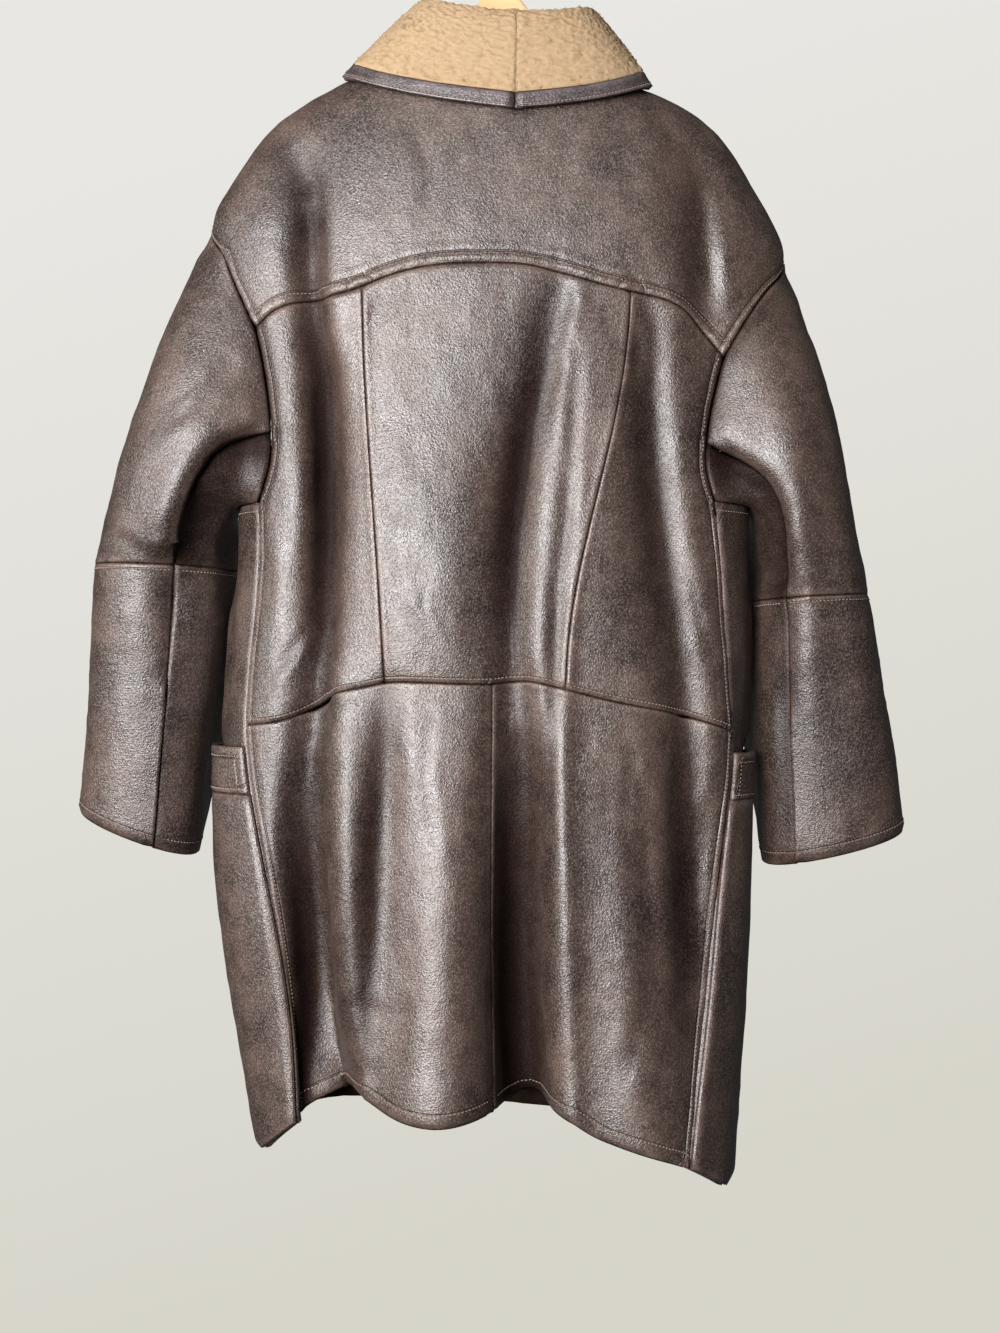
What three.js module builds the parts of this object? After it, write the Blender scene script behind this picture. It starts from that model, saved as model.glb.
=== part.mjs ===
import * as THREE from 'three';

// A shearling coat hanging on a wooden hanger, in millimetres. The origin is the seat of
// the hanger's hook. The coat's back faces -Y, +X is the wearer's right and +Z is up.

const bodyWall = 5;
const pocketWall = 3.5;
const collarWall = 6;
const seamGap = 0.3;
const armpitHeight = -568;
const pocketBelowWaist = 19;
const bandHeight = 47;
const pocketGape = 11;
const pocketStandoff = 0.7;
const pocketInset = 1.2;
const frontLap = 35;
const lapClearance = 1.4;
const lapStep = [45, 90];
const collarLift = 2;
const edgingHeight = 16.5;
const hangerTilt = 2.6;
const buttonRadius = 14;
const buttonHeights = [-262, -440, -618, -796];
const buttonAcross = 12;

const table = (names, rows) =>
  rows.map((row) => Object.fromEntries(names.map((name, i) => [name, row[i]])));

// Body sections from the neck down: how far each reaches to the left, right, back and front
const sections = table(['z', 'left', 'right', 'back', 'front'], [
  [-130, -95, 60, -50, 48],
  [-142, -141, 82, -58, 52],
  [-156, -173, 133, -66, 56],
  [-170, -205, 168, -72, 60],
  [-184, -226, 197, -76, 62],
  [-198, -238, 213, -80, 64],
  [-212, -248, 224, -83, 66],
  [-240, -265, 239, -88, 68],
  [-267, -282, 254, -92, 70],
  [-291, -297, 266, -95, 71],
  [-326, -297, 284, -98, 72],
  [-400, -285, 270, -101, 73],
  [-480, -270, 250, -104, 74],
  [-560, -263, 243, -106, 75],
  [-620, -262, 240, -108, 76],
  [-715, -270, 240, -110, 77],
  [-800, -276, 234, -112, 78],
  [-916, -277, 233, -115, 80],
  [-1006, -270, 232, -117, 80],
  [-1095, -258, 230, -118, 80],
  [-1155, -247, 227, -119, 80],
  [-1230, -240, 223, -119, 80],
]);
const fullness = { back: 2.4, front: 3.2 };
const widestDepth = table(['z', 'y'], [[-200, 0], [-500, -10]]);

// Seams of the back, each read across the coat
const seamAcross = ['x', 'z'];
const hemBack = table(seamAcross, [
  [-250, -1187], [-235, -1189], [-222, -1185], [-208, -1173], [-196, -1154], [-180, -1134],
  [-160, -1126], [-135, -1130], [-119, -1138], [-100, -1146], [-62, -1150], [-30, -1146],
  [0, -1140], [28, -1138], [48, -1138], [60, -1147], [80, -1162], [127, -1179],
  [165, -1195], [198, -1217], [212, -1224], [226, -1214],
]);
const hemFront = table(seamAcross, [
  [-250, -1187], [-230, -1182], [-190, -1172], [-100, -1168], [0, -1174], [60, -1181],
  [140, -1188], [190, -1202], [226, -1214],
]);
const waistSeam = table(seamAcross, [
  [-248, -781], [-219, -778], [-183, -764], [-169, -752], [-144, -747], [-104, -739.5],
  [-15, -742], [18, -738.6], [54, -746], [106, -759], [171, -771], [217, -787.5],
]);
const yokeSeam = table(seamAcross, [
  [-237, -401], [-219, -385], [-193, -377], [-163, -375], [-136, -368], [-112, -358],
  [-81, -350], [-40, -346], [12, -346], [58, -356.5], [99, -368], [150, -378],
  [171, -387], [188, -403], [210.5, -429],
]);
const shoulderLine = table(seamAcross, [[-297, -291], [284, -326]]);

// Seams that run up the coat, each read by its height
const seamUp = ['z', 'x'];
const sides = {
  left: {
    sideSeam: table(seamUp, [
      [-568, -238], [-613, -236], [-661, -238], [-714, -247], [-778, -248], [-835, -242.5],
      [-902, -230], [-963, -219], [-1042, -208], [-1113, -201], [-1142, -198],
    ]),
    armholeBack: table(seamUp, [
      [-291, -297], [-323, -274], [-370, -255], [-402, -238], [-435, -231], [-474, -225],
      [-513, -222], [-542, -224], [-568, -238],
    ]),
    armholeFront: table(seamUp, [
      [-291, -297], [-350, -262], [-420, -243], [-500, -238], [-545, -246], [-568, -255],
    ]),
    frontYoke: -400,
  },
  right: {
    sideSeam: table(seamUp, [
      [-568, 201], [-623, 208], [-700, 212], [-760, 218], [-806, 217], [-874, 210.5],
      [-947, 202], [-1006, 196], [-1081, 186], [-1149, 174], [-1194, 167],
    ]),
    armholeBack: table(seamUp, [
      [-326, 284], [-346, 266], [-380, 238], [-412, 221], [-429, 210.5], [-455, 205],
      [-480, 199], [-526, 192], [-546, 191], [-568, 201],
    ]),
    armholeFront: table(seamUp, [
      [-326, 284], [-380, 246], [-440, 226], [-500, 219], [-545, 226], [-568, 234],
    ]),
    frontYoke: -428,
  },
};
const backSeams = table(['z', 'seamLeft', 'middle', 'seamRight'], [
  [-230, -110, -6, 100],
  [-370, -134.5, -10, 119],
  [-742, -113, -11.4, 56.3],
  [-900, -110, -11, 66],
  [-1160, -108, -9.5, 80],
]);

// The neckline in plan
const neckBack = { left: -95, right: 92, depth: 56, stops: [-95, -40, 0, 42, 92] };
const neckFront = table(['x', 'y'], [
  [-95, 0], [-95, 28], [-90, 47], [-78, 56], [-50, 63], [0, 67], [35, 67],
]);

// Folds: where each runs, how far it rises and how wide it is on either side
const foldRow = ['x', 'z', 'rise'];
const backFolds = [
  { left: 22, right: 22, path: table(foldRow, [[-202, -215, 0], [-188, -270, -14], [-185, -310, -14],
    [-186, -380, -12], [-172, -440, -22], [-167, -520, -28], [-169, -625, -28], [-176, -710, -22],
    [-185, -794, -20], [-188, -897, -32], [-180, -1038, -48], [-157, -1170, -60]]) },
  { left: 34, right: 19, path: table(foldRow, [[56, -371, -4], [26, -474, -10], [12, -587, -13],
    [8, -681, -12], [9, -747, -12], [17, -813, -22], [21, -944, -48], [21, -1038, -56], [26, -1170, -60]]) },
  { left: 20, right: 20, path: table(foldRow, [[136, -409, -3], [141, -550, -9], [155, -662, -12],
    [174, -756, -12], [176, -897, -10], [164, -1038, -6], [155, -1133, 0]]) },
  { left: 18, right: 18, path: table(foldRow, [[183, -239, 0], [189, -286, -7], [191, -343, -9],
    [196, -399, -8], [198, -493, -6], [194, -550, 0]]) },
  { left: 18, right: 18, path: table(foldRow, [[-113, -756, -3], [-106, -897, -12], [-105, -1038, -10],
    [-118, -1133, -6]]) },
  { left: 50, right: 50, path: table(foldRow, [[-61, -813, 6], [-61, -991, 16], [-61, -1170, 24]]) },
  { left: 30, right: 55, path: table(foldRow, [[99, -813, 4], [108, -991, 12], [127, -1180, 20]]) },
  { left: 14, right: 16, path: table(foldRow, [[44, -794, 4], [48, -944, 14], [50, -1038, 12],
    [54, -1120, 6]]) },
  { left: 22, right: 22, path: table(foldRow, [[-150, -813, 8], [-146, -916, 12], [-150, -1000, 2]]) },
  { left: 60, right: 60, path: table(foldRow, [[-70, -550, 6], [-70, -681, 8], [-70, -740, 0]]) },
  { left: 18, right: 18, path: table(foldRow, [[188, -700, 0], [194, -813, 6], [190, -900, 0]]) },
  { left: 30, right: 30, path: table(foldRow, [[89, -420, 0], [89, -493, 5], [80, -625, 6], [78, -720, 0]]) },
];
const frontFolds = [
  { left: 34, right: 30, path: table(foldRow, [[-150, -420, 0], [-160, -600, 8], [-172, -800, 9],
    [-178, -1000, 13], [-180, -1180, 16]]) },
  { left: 24, right: 24, path: table(foldRow, [[-112, -700, 0], [-108, -900, -9], [-110, -1170, -17]]) },
  { left: 30, right: 32, path: table(foldRow, [[138, -420, 0], [140, -600, -7], [142, -800, -10],
    [146, -1000, -13], [150, -1190, -18]]) },
  { left: 22, right: 24, path: table(foldRow, [[186, -780, 0], [188, -1000, 8], [190, -1190, 12]]) },
];
const foldFade = 60;

// Sleeve sections from the shoulder to the cuff: outer and inner edge, and reach to back and front
const sleeveRow = ['at', 'outerX', 'outerZ', 'innerX', 'innerZ', 'back', 'front'];
const sleeves = {
  left: {
    seamTurn: 112,
    sections: table(sleeveRow, [
      [0, -297, -291, -262, -567, -62, 58],
      [2, -325, -356, -266, -575, -84, 62],
      [4, -355, -445, -269, -584, -93, 66],
      [6, -381, -535, -274, -598, -88, 70],
      [8, -400, -602, -277, -615, -74, 73],
      [9, -406, -624, -278, -629, -68, 74],
      [11, -412, -688, -281, -688, -58, 75],
      [13, -416.5, -759, -290, -757, -47, 76],
      [15, -422.5, -820, -300, -834, -37, 77],
      [17, -428, -867, -307, -912, -28, 78],
    ]),
    overhang: table(seamAcross, [[-311, -624], [-309, -601], [-301, -584], [-284, -570],
      [-260, -561], [-236, -552], [-218, -539]]),
    overhangStep: { up: 16, down: 26, reachUp: 60, reachDown: 45 },
  },
  right: {
    seamTurn: 127,
    sections: table(sleeveRow, [
      [0, 284, -326, 241, -566, -62, 58],
      [2, 303, -389, 243, -574, -84, 62],
      [4, 323, -460, 245, -584, -92, 66],
      [6, 337, -542, 247, -606, -88, 70],
      [8, 352, -619, 249, -638, -76, 73],
      [9, 360, -654, 250, -660, -68, 74],
      [11, 370.5, -708, 250, -713, -60, 75],
      [13, 382.5, -771, 252, -771, -48, 76],
      [15, 395.5, -831, 255, -840, -38, 77],
      [17, 402, -887, 258, -921, -30, 78],
    ]),
    overhang: table(seamAcross, [[179, -563], [205, -564], [213, -569], [226, -588], [238, -613],
      [257, -631]]),
    overhangStep: { up: 8, down: 16, reachUp: 60, reachDown: 45 },
    longCrease: table(seamUp, [[-378, 272], [-454, 284], [-520, 289], [-587, 292], [-653, 295],
      [-700, 300], [-747, 310]]),
  },
};
const longStep = { up: 10, down: 6, reachUp: 34, reachDown: 25 };
const foldEdge = 9;
const overhangFade = 34;
const creaseFade = 50;

// The sleeve lies round the front corner of the body: how far it reaches in there
const sleeveHug = table(['at', 'left', 'right'], [
  [0, 0, 0], [4, 8, 6], [7, 40, 28], [9, 46, 32], [13, 42, 30], [15, 24, 20], [17, 8, 8],
]);
const hugTurn = { middle: 130, width: 22 };
const sleeveStops = [0, 1, 2, 3.2, 4.5, 5.8, 7, 8, 9, 10, 11.5, 13, 15, 17];
const elbowRing = sleeveStops.indexOf(9);
const sleeveFullness = 2.3;
const armholeBlend = [0, 0.35, 0.62, 0.82, 0.94, 1];
const cuffDrop = 6;
const sleeveSeam = 6;

// Collar stations from the left front round the neck: neck seam, roll line and edge
const collarStations = table(['turn', 'rollX', 'rollY', 'rollZ', 'edge'], [
  [0, -9, 78, -204, 103],
  [1, -52, 72, -158, 116],
  [2, -77, 46, -106, 136],
  [3, -84, -5, -64, 182],
  [4, -54, -50, -80, 228],
  [5, 9, -58, -93, 275.5],
  [6, 66, -50, -86, 316],
  [7, 86, -5, -74, 358],
  [8, 75, 46, -114, 402],
  [9, 50, 72, -166, 418],
  [10, 16, 77, -203, 432],
]);
const collarEnds = { left: -7, middle: 9.5, right: 14 };
const neckClearance = 3.7;
const collarEdge = table(['angle', 'z'], [
  [103, -300], [112, -250], [120, -200], [128, -169], [141, -150], [180, -143], [220, -161],
  [245, -180], [259, -192], [268, -197], [276, -199.5], [284, -198], [293, -192.5], [314, -176],
  [335, -164], [360, -156], [396, -164], [408, -183], [416, -214], [424, -262], [433, -306],
]);
const collarStops = [0, 0.11, 0.22, 0.31, 0.38, 0.45, 0.53, 0.63, 0.76];
const collarColumns = 24;

// The hanger's outline from its middle to its tip, upper edge first
const hangerUpper = table(['x', 'z'], [
  [0, -52], [21, -66], [45, -100], [72, -135], [100, -155], [150, -167], [195, -188],
]);
const hangerLower = table(['x', 'z'], [[193, -206], [150, -196], [100, -182], [50, -168], [0, -164]]);
const hangerDepth = 16;
const hangerRound = 3;
const hookWire = 2;
const hookPath = [[0, -51.4], [0, -46], [7, -40.5], [16.5, -34.6], [22, -20], [15.6, -4.4], [0, 2],
  [-15.6, -4.4], [-22, -20], [-20.5, -28]];

// Grid rows from the hem up, and columns of the back from left to right
const row = { hem: 0, band: 7, pocket: 9, waist: 10, armpit: 14, yoke: 19, shoulder: 22, neck: 28 };
const column = { left: 0, seamLeft: 8, middle: 15, seamRight: 20, right: 28 };
const armColumn = 4;
const frontColumns = 12;
const pocketColumns = 6;
const pocketLift = [0, 0.72, 1, 0.72, 0.32, 0.1, 0.02];

const radians = THREE.MathUtils.degToRad;
const { lerp, clamp, smoothstep } = THREE.MathUtils;

// Smooth reading between the rows of a table, without overshoot
function read(rows, key, name, at) {
  const turned = rows[0][key] > rows[rows.length - 1][key];
  const list = turned ? [...rows].reverse() : rows;
  const last = list.length - 1;
  if (at <= list[0][key]) return list[0][name];
  if (at >= list[last][key]) return list[last][name];
  let i = 0;
  while (at > list[i + 1][key]) i += 1;
  const rise = (k) => (list[k + 1][name] - list[k][name]) / (list[k + 1][key] - list[k][key]);
  const slope = (k) => {
    if (k === 0) return rise(0);
    if (k === last) return rise(last - 1);
    const before = rise(k - 1);
    const after = rise(k);
    return before * after <= 0 ? 0 : (2 * before * after) / (before + after);
  };
  const width = list[i + 1][key] - list[i][key];
  const t = (at - list[i][key]) / width;
  const a = list[i][name];
  const b = list[i + 1][name];
  return a * (1 + 2 * t) * (1 - t) ** 2 + b * t * t * (3 - 2 * t)
    + width * (slope(i) * t * (1 - t) ** 2 - slope(i + 1) * t * t * (1 - t));
}

function sectionAt(z) {
  const reaches = ['left', 'right', 'back', 'front'].map((name) => read(sections, 'z', name, z));
  const [left, right, back, front] = reaches;
  const midY = read(widestDepth, 'z', 'y', z);
  return { midX: (left + right) / 2, half: (right - left) / 2, midY, back: midY - back, front: front - midY };
}

// Angles run from the right side (0) over the front (90) and the left side (180) to the back (270)
function ringPoint(angle, z) {
  const section = sectionAt(z);
  const across = Math.cos(radians(angle));
  const along = Math.sin(radians(angle));
  const power = along < 0 ? fullness.back : fullness.front;
  const reach = (Math.abs(across) ** power + Math.abs(along) ** power) ** (-1 / power);
  const depth = along < 0 ? section.back : section.front;
  const x = section.midX + section.half * reach * across;
  const y = section.midY + depth * reach * along;
  return new THREE.Vector3(x, y, z);
}

function angleAt(x, z, face) {
  const section = sectionAt(z);
  const across = clamp((x - section.midX) / section.half, -1, 1);
  const along = (1 - Math.abs(across) ** fullness[face]) ** (1 / fullness[face]);
  const angle = THREE.MathUtils.radToDeg(Math.atan2(along, across));
  return face === 'back' ? 360 - angle : angle;
}

function foldRise(folds, x, z) {
  let total = 0;
  for (const fold of folds) {
    const away = x - read(fold.path, 'z', 'x', z);
    const width = away < 0 ? fold.left : fold.right;
    const fade = 1 - clamp((z - fold.path[0].z) / foldFade, 0, 1);
    total += read(fold.path, 'z', 'rise', z) * fade * Math.exp(-((away / width) ** 2));
  }
  return total;
}

// A point of the coat's outer surface, with its folds
function bodyPoint(angle, z) {
  const point = ringPoint(angle, z);
  const ahead = ringPoint(angle + 1, z).sub(ringPoint(angle - 1, z));
  const normal = new THREE.Vector3(ahead.y, -ahead.x, 0).normalize();
  const along = Math.sin(radians(angle));
  const folds = along < 0 ? backFolds : frontFolds;
  const rise = foldRise(folds, point.x, z) * smoothstep(Math.abs(along), 0.02, 0.3);
  return point.addScaledVector(normal, rise);
}

// The height at which a section reaches a given place in plan
function heightAt(x, y) {
  let [high, low] = [sections[0].z, -330];
  for (let i = 0; i < 40; i += 1) {
    const z = (high + low) / 2;
    const section = sectionAt(z);
    const power = y < 0 ? fullness.back : fullness.front;
    const across = Math.abs((x - section.midX) / section.half);
    const along = Math.abs(y - section.midY) / (y < 0 ? section.back : section.front);
    if (across ** power + along ** power > 1) high = z;
    else low = z;
  }
  return (high + low) / 2;
}

function neckPlace(x, y) {
  const z = heightAt(x, y);
  const section = sectionAt(z);
  const depth = y < 0 ? section.back : section.front;
  const turn = Math.atan2((y - section.midY) / depth, (x - section.midX) / section.half);
  return { angle: THREE.MathUtils.radToDeg(turn), z };
}

function neckBackPlace(x) {
  const middle = (neckBack.left + neckBack.right) / 2;
  const across = Math.min(1, Math.abs(x - middle) / (neckBack.right - middle));
  const place = neckPlace(x, -neckBack.depth * (1 - across ** fullness.back) ** (1 / fullness.back));
  place.angle = (place.angle + 360) % 360;
  if (x >= neckBack.right) place.angle = 360;
  return place;
}

// Height of a seam where a column meets it
function meet(seamOf, angleOf) {
  let z = seamOf(270)[0].z;
  for (let i = 0; i < 14; i += 1) {
    const angle = angleOf(z);
    z = (z + read(seamOf(angle), 'x', 'z', ringPoint(angle, z).x)) / 2;
  }
  return z;
}

// Places of one column from the hem to the neck, given its height at each named row
function columnPlaces(angleOf, heights, neck) {
  const names = ['hem', 'band', 'pocket', 'waist', 'armpit', 'yoke', 'shoulder'];
  const places = [];
  for (let i = 0; i < names.length - 1; i += 1) {
    const [from, to] = [names[i], names[i + 1]];
    for (let r = row[from]; r < row[to]; r += 1) {
      const z = lerp(heights[from], heights[to], (r - row[from]) / (row[to] - row[from]));
      places.push({ angle: angleOf(z), z });
    }
  }
  const top = { angle: angleOf(heights.shoulder), z: heights.shoulder };
  const bands = row.neck - row.shoulder;
  for (let i = 0; i <= bands; i += 1) {
    const t = 1 - (1 - i / bands) ** 1.5;
    places.push({ angle: lerp(top.angle, neck.angle, t), z: lerp(top.z, neck.z, t) });
  }
  return places;
}

function edgeAngle(side, z) {
  const low = z <= armpitHeight;
  const x = read(low ? sides[side].sideSeam : sides[side].armholeBack, 'z', 'x', z);
  return angleAt(x, z, 'back');
}

const backKnots = ['left', 'seamLeft', 'middle', 'seamRight', 'right'];

function backAngle(at, z) {
  let i = 0;
  while (i < 3 && at > column[backKnots[i + 1]]) i += 1;
  const seamAngle = (name) => angleAt(read(backSeams, 'z', name, z), z, 'back');
  const knot = (name) => (name in sides ? edgeAngle(name, z) : seamAngle(name));
  const [from, to] = [backKnots[i], backKnots[i + 1]];
  return lerp(knot(from), knot(to), (at - column[from]) / (column[to] - column[from]));
}

function backColumn(at) {
  const angleOf = (z) => backAngle(at, z);
  const waist = meet(() => waistSeam, angleOf);
  const heights = {
    hem: meet(() => hemBack, angleOf),
    band: waist - pocketBelowWaist - bandHeight,
    pocket: waist - pocketBelowWaist,
    waist,
    armpit: armpitHeight,
    yoke: meet(() => yokeSeam, angleOf),
    shoulder: meet(() => shoulderLine, angleOf),
  };
  let i = 0;
  while (i < 3 && at > column[backKnots[i + 1]]) i += 1;
  const share = (at - column[backKnots[i]]) / (column[backKnots[i + 1]] - column[backKnots[i]]);
  const neck = neckBackPlace(lerp(neckBack.stops[i], neckBack.stops[i + 1], share));
  return columnPlaces(angleOf, heights, neck);
}

const gridOf = (columns, toPoint) =>
  columns[0].map((_, r) => columns.map((places) => toPoint(places[r].angle, places[r].z)));

const backColumns = Array.from({ length: column.right + 1 }, (_, at) => backColumn(at));
const backGrid = gridOf(backColumns, bodyPoint);

const neckFrontCurve = new THREE.CatmullRomCurve3(neckFront.map(({ x, y }) => new THREE.Vector3(x, y, 0)));

// The front lies under or over the other one along the middle, so the right one steps inward there
function frontGrid(side) {
  const left = side === 'left';
  const seamPlaces = left ? backColumns[0] : backColumns[column.right];
  const turn = left ? 0 : -360;
  const lapX = left ? frontLap : -frontLap;
  const corner = angleAt(read(sides[side].armholeFront, 'z', 'x', armpitHeight), armpitHeight, 'front');
  const armAngle = (z) => (z <= armpitHeight ? corner
    : angleAt(read(sides[side].armholeFront, 'z', 'x', z), z, 'front'));
  const columns = [];
  for (let at = 0; at <= frontColumns; at += 1) {
    const angleOf = (z) => {
      if (at <= armColumn) return lerp(edgeAngle(side, z) + turn, armAngle(z), at / armColumn);
      const share = (at - armColumn) / (frontColumns - armColumn);
      return lerp(armAngle(z), angleAt(lapX, z, 'front'), share);
    };
    const seamZ = (name) => seamPlaces[row[name]].z;
    const hem = (angle) => (Math.sin(radians(angle)) < 0 ? hemBack : hemFront);
    const heights = {
      hem: meet(hem, angleOf),
      band: seamZ('band'),
      pocket: seamZ('pocket'),
      waist: seamZ('waist'),
      armpit: armpitHeight,
      yoke: sides[side].frontYoke,
      shoulder: seamZ('shoulder'),
    };
    const share = clamp((at - armColumn) / (frontColumns - armColumn), 0, 1);
    const onNeck = neckFrontCurve.getPointAt(share);
    const neckX = left ? onNeck.x : neckBack.left + neckBack.right - onNeck.x;
    columns.push(columnPlaces(angleOf, heights, neckPlace(neckX, onNeck.y)));
    if (at === 0) columns[0] = seamPlaces.map(({ angle, z }) => ({ angle: angle + turn, z }));
  }
  const underStep = (x) => (left ? 0 : (bodyWall + lapClearance) * (1 - smoothstep(x, ...lapStep)));
  return gridOf(columns, (angle, z) => {
    const point = bodyPoint(angle, z);
    if (Math.sin(radians(angle)) > 0) point.y -= underStep(point.x);
    return point;
  });
}

const frontGrids = { left: frontGrid('left'), right: frontGrid('right') };

// A fold that stands up on one side of a line and sinks on the other
function stepRise(away, { up, down, reachUp, reachDown }) {
  const rise = away > 0 ? up * Math.exp(-away / reachUp) : down * Math.exp(away / reachDown);
  return rise * Math.tanh(away / foldEdge);
}

function sleeveRise(side, x, z) {
  const { overhang, overhangStep, longCrease } = sleeves[side];
  const ends = [overhang[0].x, overhang[overhang.length - 1].x];
  const outside = side === 'left' ? ends[0] - x : x - ends[1];
  const fade = 1 - smoothstep(outside, 0, overhangFade);
  let rise = fade * stepRise(z - read(overhang, 'x', 'z', x), overhangStep);
  if (longCrease) {
    const [low, high] = [longCrease[longCrease.length - 1].z, longCrease[0].z];
    const within = smoothstep(z, low - creaseFade, low) * (1 - smoothstep(z, high, high + creaseFade));
    rise -= within * stepRise(x - read(longCrease, 'z', 'x', z), longStep);
  }
  return rise;
}

function armholeLoop(side) {
  const front = frontGrids[side];
  const backEdge = side === 'left' ? column.left : column.right;
  const loop = [];
  for (let r = row.shoulder; r > row.armpit; r -= 1) loop.push(backGrid[r][backEdge]);
  for (let c = 0; c < armColumn; c += 1) loop.push(front[row.armpit][c]);
  for (let r = row.armpit; r < row.shoulder; r += 1) loop.push(front[r][armColumn]);
  return loop;
}

function sleeveGrid(side) {
  const { sections: rows, seamTurn } = sleeves[side];
  const loop = armholeLoop(side);
  const count = loop.length;
  const turnOf = (k) => {
    const step = k > count / 2 ? count - k : k;
    const turn = step <= sleeveSeam ? (seamTurn * step) / sleeveSeam
      : lerp(seamTurn, 180, (step - sleeveSeam) / (count / 2 - sleeveSeam));
    return k > count / 2 ? 360 - turn : turn;
  };
  const sectionPoint = (at, k) => {
    const [outerX, outerZ, innerX, innerZ, back, front] =
      ['outerX', 'outerZ', 'innerX', 'innerZ', 'back', 'front'].map((name) => read(rows, 'at', name, at));
    const across = Math.cos(radians(turnOf(k)));
    const toBack = Math.sin(radians(turnOf(k)));
    const power = sleeveFullness;
    const reach = (Math.abs(across) ** power + Math.abs(toBack) ** power) ** (-1 / power);
    const point = new THREE.Vector3(
      (outerX + innerX) / 2 + ((outerX - innerX) / 2) * reach * across,
      (back + front) / 2 - ((front - back) / 2) * reach * toBack,
      (outerZ + innerZ) / 2 + ((outerZ - innerZ) / 2) * reach * across,
    );
    const hugged = Math.exp(-(((360 - turnOf(k) - hugTurn.middle) / hugTurn.width) ** 2));
    point.x += (side === 'left' ? 1 : -1) * read(sleeveHug, 'at', side, at) * hugged;
    if (toBack > 0) {
      point.z -= cuffDrop * toBack * smoothstep(at, 11, 17);
      point.y -= sleeveRise(side, point.x, point.z) * smoothstep(toBack, 0, 0.6) * smoothstep(at, 0, 3);
    }
    return point;
  };
  return sleeveStops.map((at, ring) => {
    const blend = armholeBlend[Math.min(ring, armholeBlend.length - 1)];
    return Array.from({ length: count + 1 }, (_, i) => {
      const k = i % count;
      const start = loop[k].clone().sub(sectionPoint(0, k));
      return sectionPoint(at, k).addScaledVector(start, 1 - blend);
    });
  });
}

const sleeveGrids = { left: sleeveGrid('left'), right: sleeveGrid('right') };

// Unit normals shared by every panel that meets at a point
const keyOf = (point) => [point.x, point.y, point.z].map((value) => Math.round(value * 100)).join();

function cornersOf(cell, flip) {
  const [r, c] = cell;
  const corners = [[r, c], [r, c + 1], [r + 1, c + 1], [r + 1, c]];
  return flip ? corners.reverse() : corners;
}

function cellsOf(fromRow, toRow, fromColumn, toColumn, keep = () => true) {
  const cells = [];
  for (let r = fromRow; r < toRow; r += 1) {
    for (let c = fromColumn; c < toColumn; c += 1) if (keep(r, c)) cells.push([r, c]);
  }
  return cells;
}

function addNormals(normals, grid, cells, flip) {
  for (const cell of cells) {
    const [a, b, c, d] = cornersOf(cell, flip).map(([r, k]) => grid[r][k]);
    const normal = c.clone().sub(a).cross(d.clone().sub(b));
    for (const point of [a, b, c, d]) {
      const key = keyOf(point);
      if (!normals.has(key)) normals.set(key, new THREE.Vector3());
      normals.get(key).add(normal);
    }
  }
}

// A panel of cloth: its outer points, the same points moved in by its thickness, and its edges
function panel(grid, cells, flip, thickness, normals, inset = seamGap / 2) {
  const verts = new Map();
  const edges = new Map();
  const idOf = (r, c) => {
    const key = keyOf(grid[r][c]);
    if (!verts.has(key)) {
      const normal = normals.get(key).clone().normalize();
      verts.set(key, { index: verts.size, point: grid[r][c], normal, inward: [] });
    }
    return key;
  };
  const faces = cells.map((cell) => cornersOf(cell, flip).map(([r, c]) => idOf(r, c)));
  for (const face of faces) {
    face.forEach((from, i) => {
      const to = face[(i + 1) % 4];
      if (edges.has(`${to}|${from}`)) edges.delete(`${to}|${from}`);
      else edges.set(`${from}|${to}`, [from, to]);
    });
  }
  for (const [from, to] of edges.values()) {
    const run = verts.get(to).point.clone().sub(verts.get(from).point);
    for (const key of [from, to]) {
      const vert = verts.get(key);
      vert.inward.push(vert.normal.clone().cross(run).normalize());
    }
  }
  const outer = [];
  const inner = [];
  for (const { point, normal, inward } of verts.values()) {
    const placed = point.clone();
    if (inward.length) {
      const sum = inward.reduce((total, side) => total.add(side), new THREE.Vector3());
      const spread = inward.length === 2 ? 1 + inward[0].dot(inward[1]) : inward.length;
      placed.addScaledVector(sum, inset / Math.max(spread, 0.5));
    }
    outer.push(placed);
    inner.push(placed.clone().addScaledVector(normal, -thickness));
  }
  const count = outer.length;
  const index = [];
  for (const face of faces) {
    const [a, b, c, d] = face.map((key) => verts.get(key).index);
    const cutAC = outer[a].distanceTo(outer[c]) <= outer[b].distanceTo(outer[d]);
    const halves = cutAC ? [[a, b, c], [a, c, d]] : [[a, b, d], [b, c, d]];
    for (const [i, j, k] of halves) index.push(i, j, k, k + count, j + count, i + count);
  }
  // The edge faces of two panels along a seam are cut along the same diagonal
  for (const [from, to] of edges.values()) {
    const [a, b] = [verts.get(from).index, verts.get(to).index];
    if (from < to) index.push(b, a, b + count, a, a + count, b + count);
    else index.push(b, a, a + count, b, a + count, b + count);
  }
  const geometry = new THREE.BufferGeometry().setFromPoints([...outer, ...inner]);
  geometry.setIndex(index);
  geometry.computeVertexNormals();
  return geometry;
}

const leather = (color) => new THREE.MeshStandardMaterial({ color, roughness: 0.46, metalness: 0 });
const materials = {
  leather: leather(0x4d413b),
  edging: leather(0x42363a),
  wool: new THREE.MeshStandardMaterial({ color: 0xcfb08a, roughness: 0.95, metalness: 0 }),
  wood: new THREE.MeshStandardMaterial({ color: 0xc98f62, roughness: 0.5, metalness: 0 }),
  steel: new THREE.MeshStandardMaterial({ color: 0xb8babd, roughness: 0.25, metalness: 1 }),
  button: new THREE.MeshStandardMaterial({ color: 0x2c211c, roughness: 0.35, metalness: 0 }),
};

const coat = new THREE.Group();

function add(name, geometry, material) {
  const mesh = new THREE.Mesh(geometry, material);
  mesh.name = name;
  coat.add(mesh);
  return mesh;
}

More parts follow.
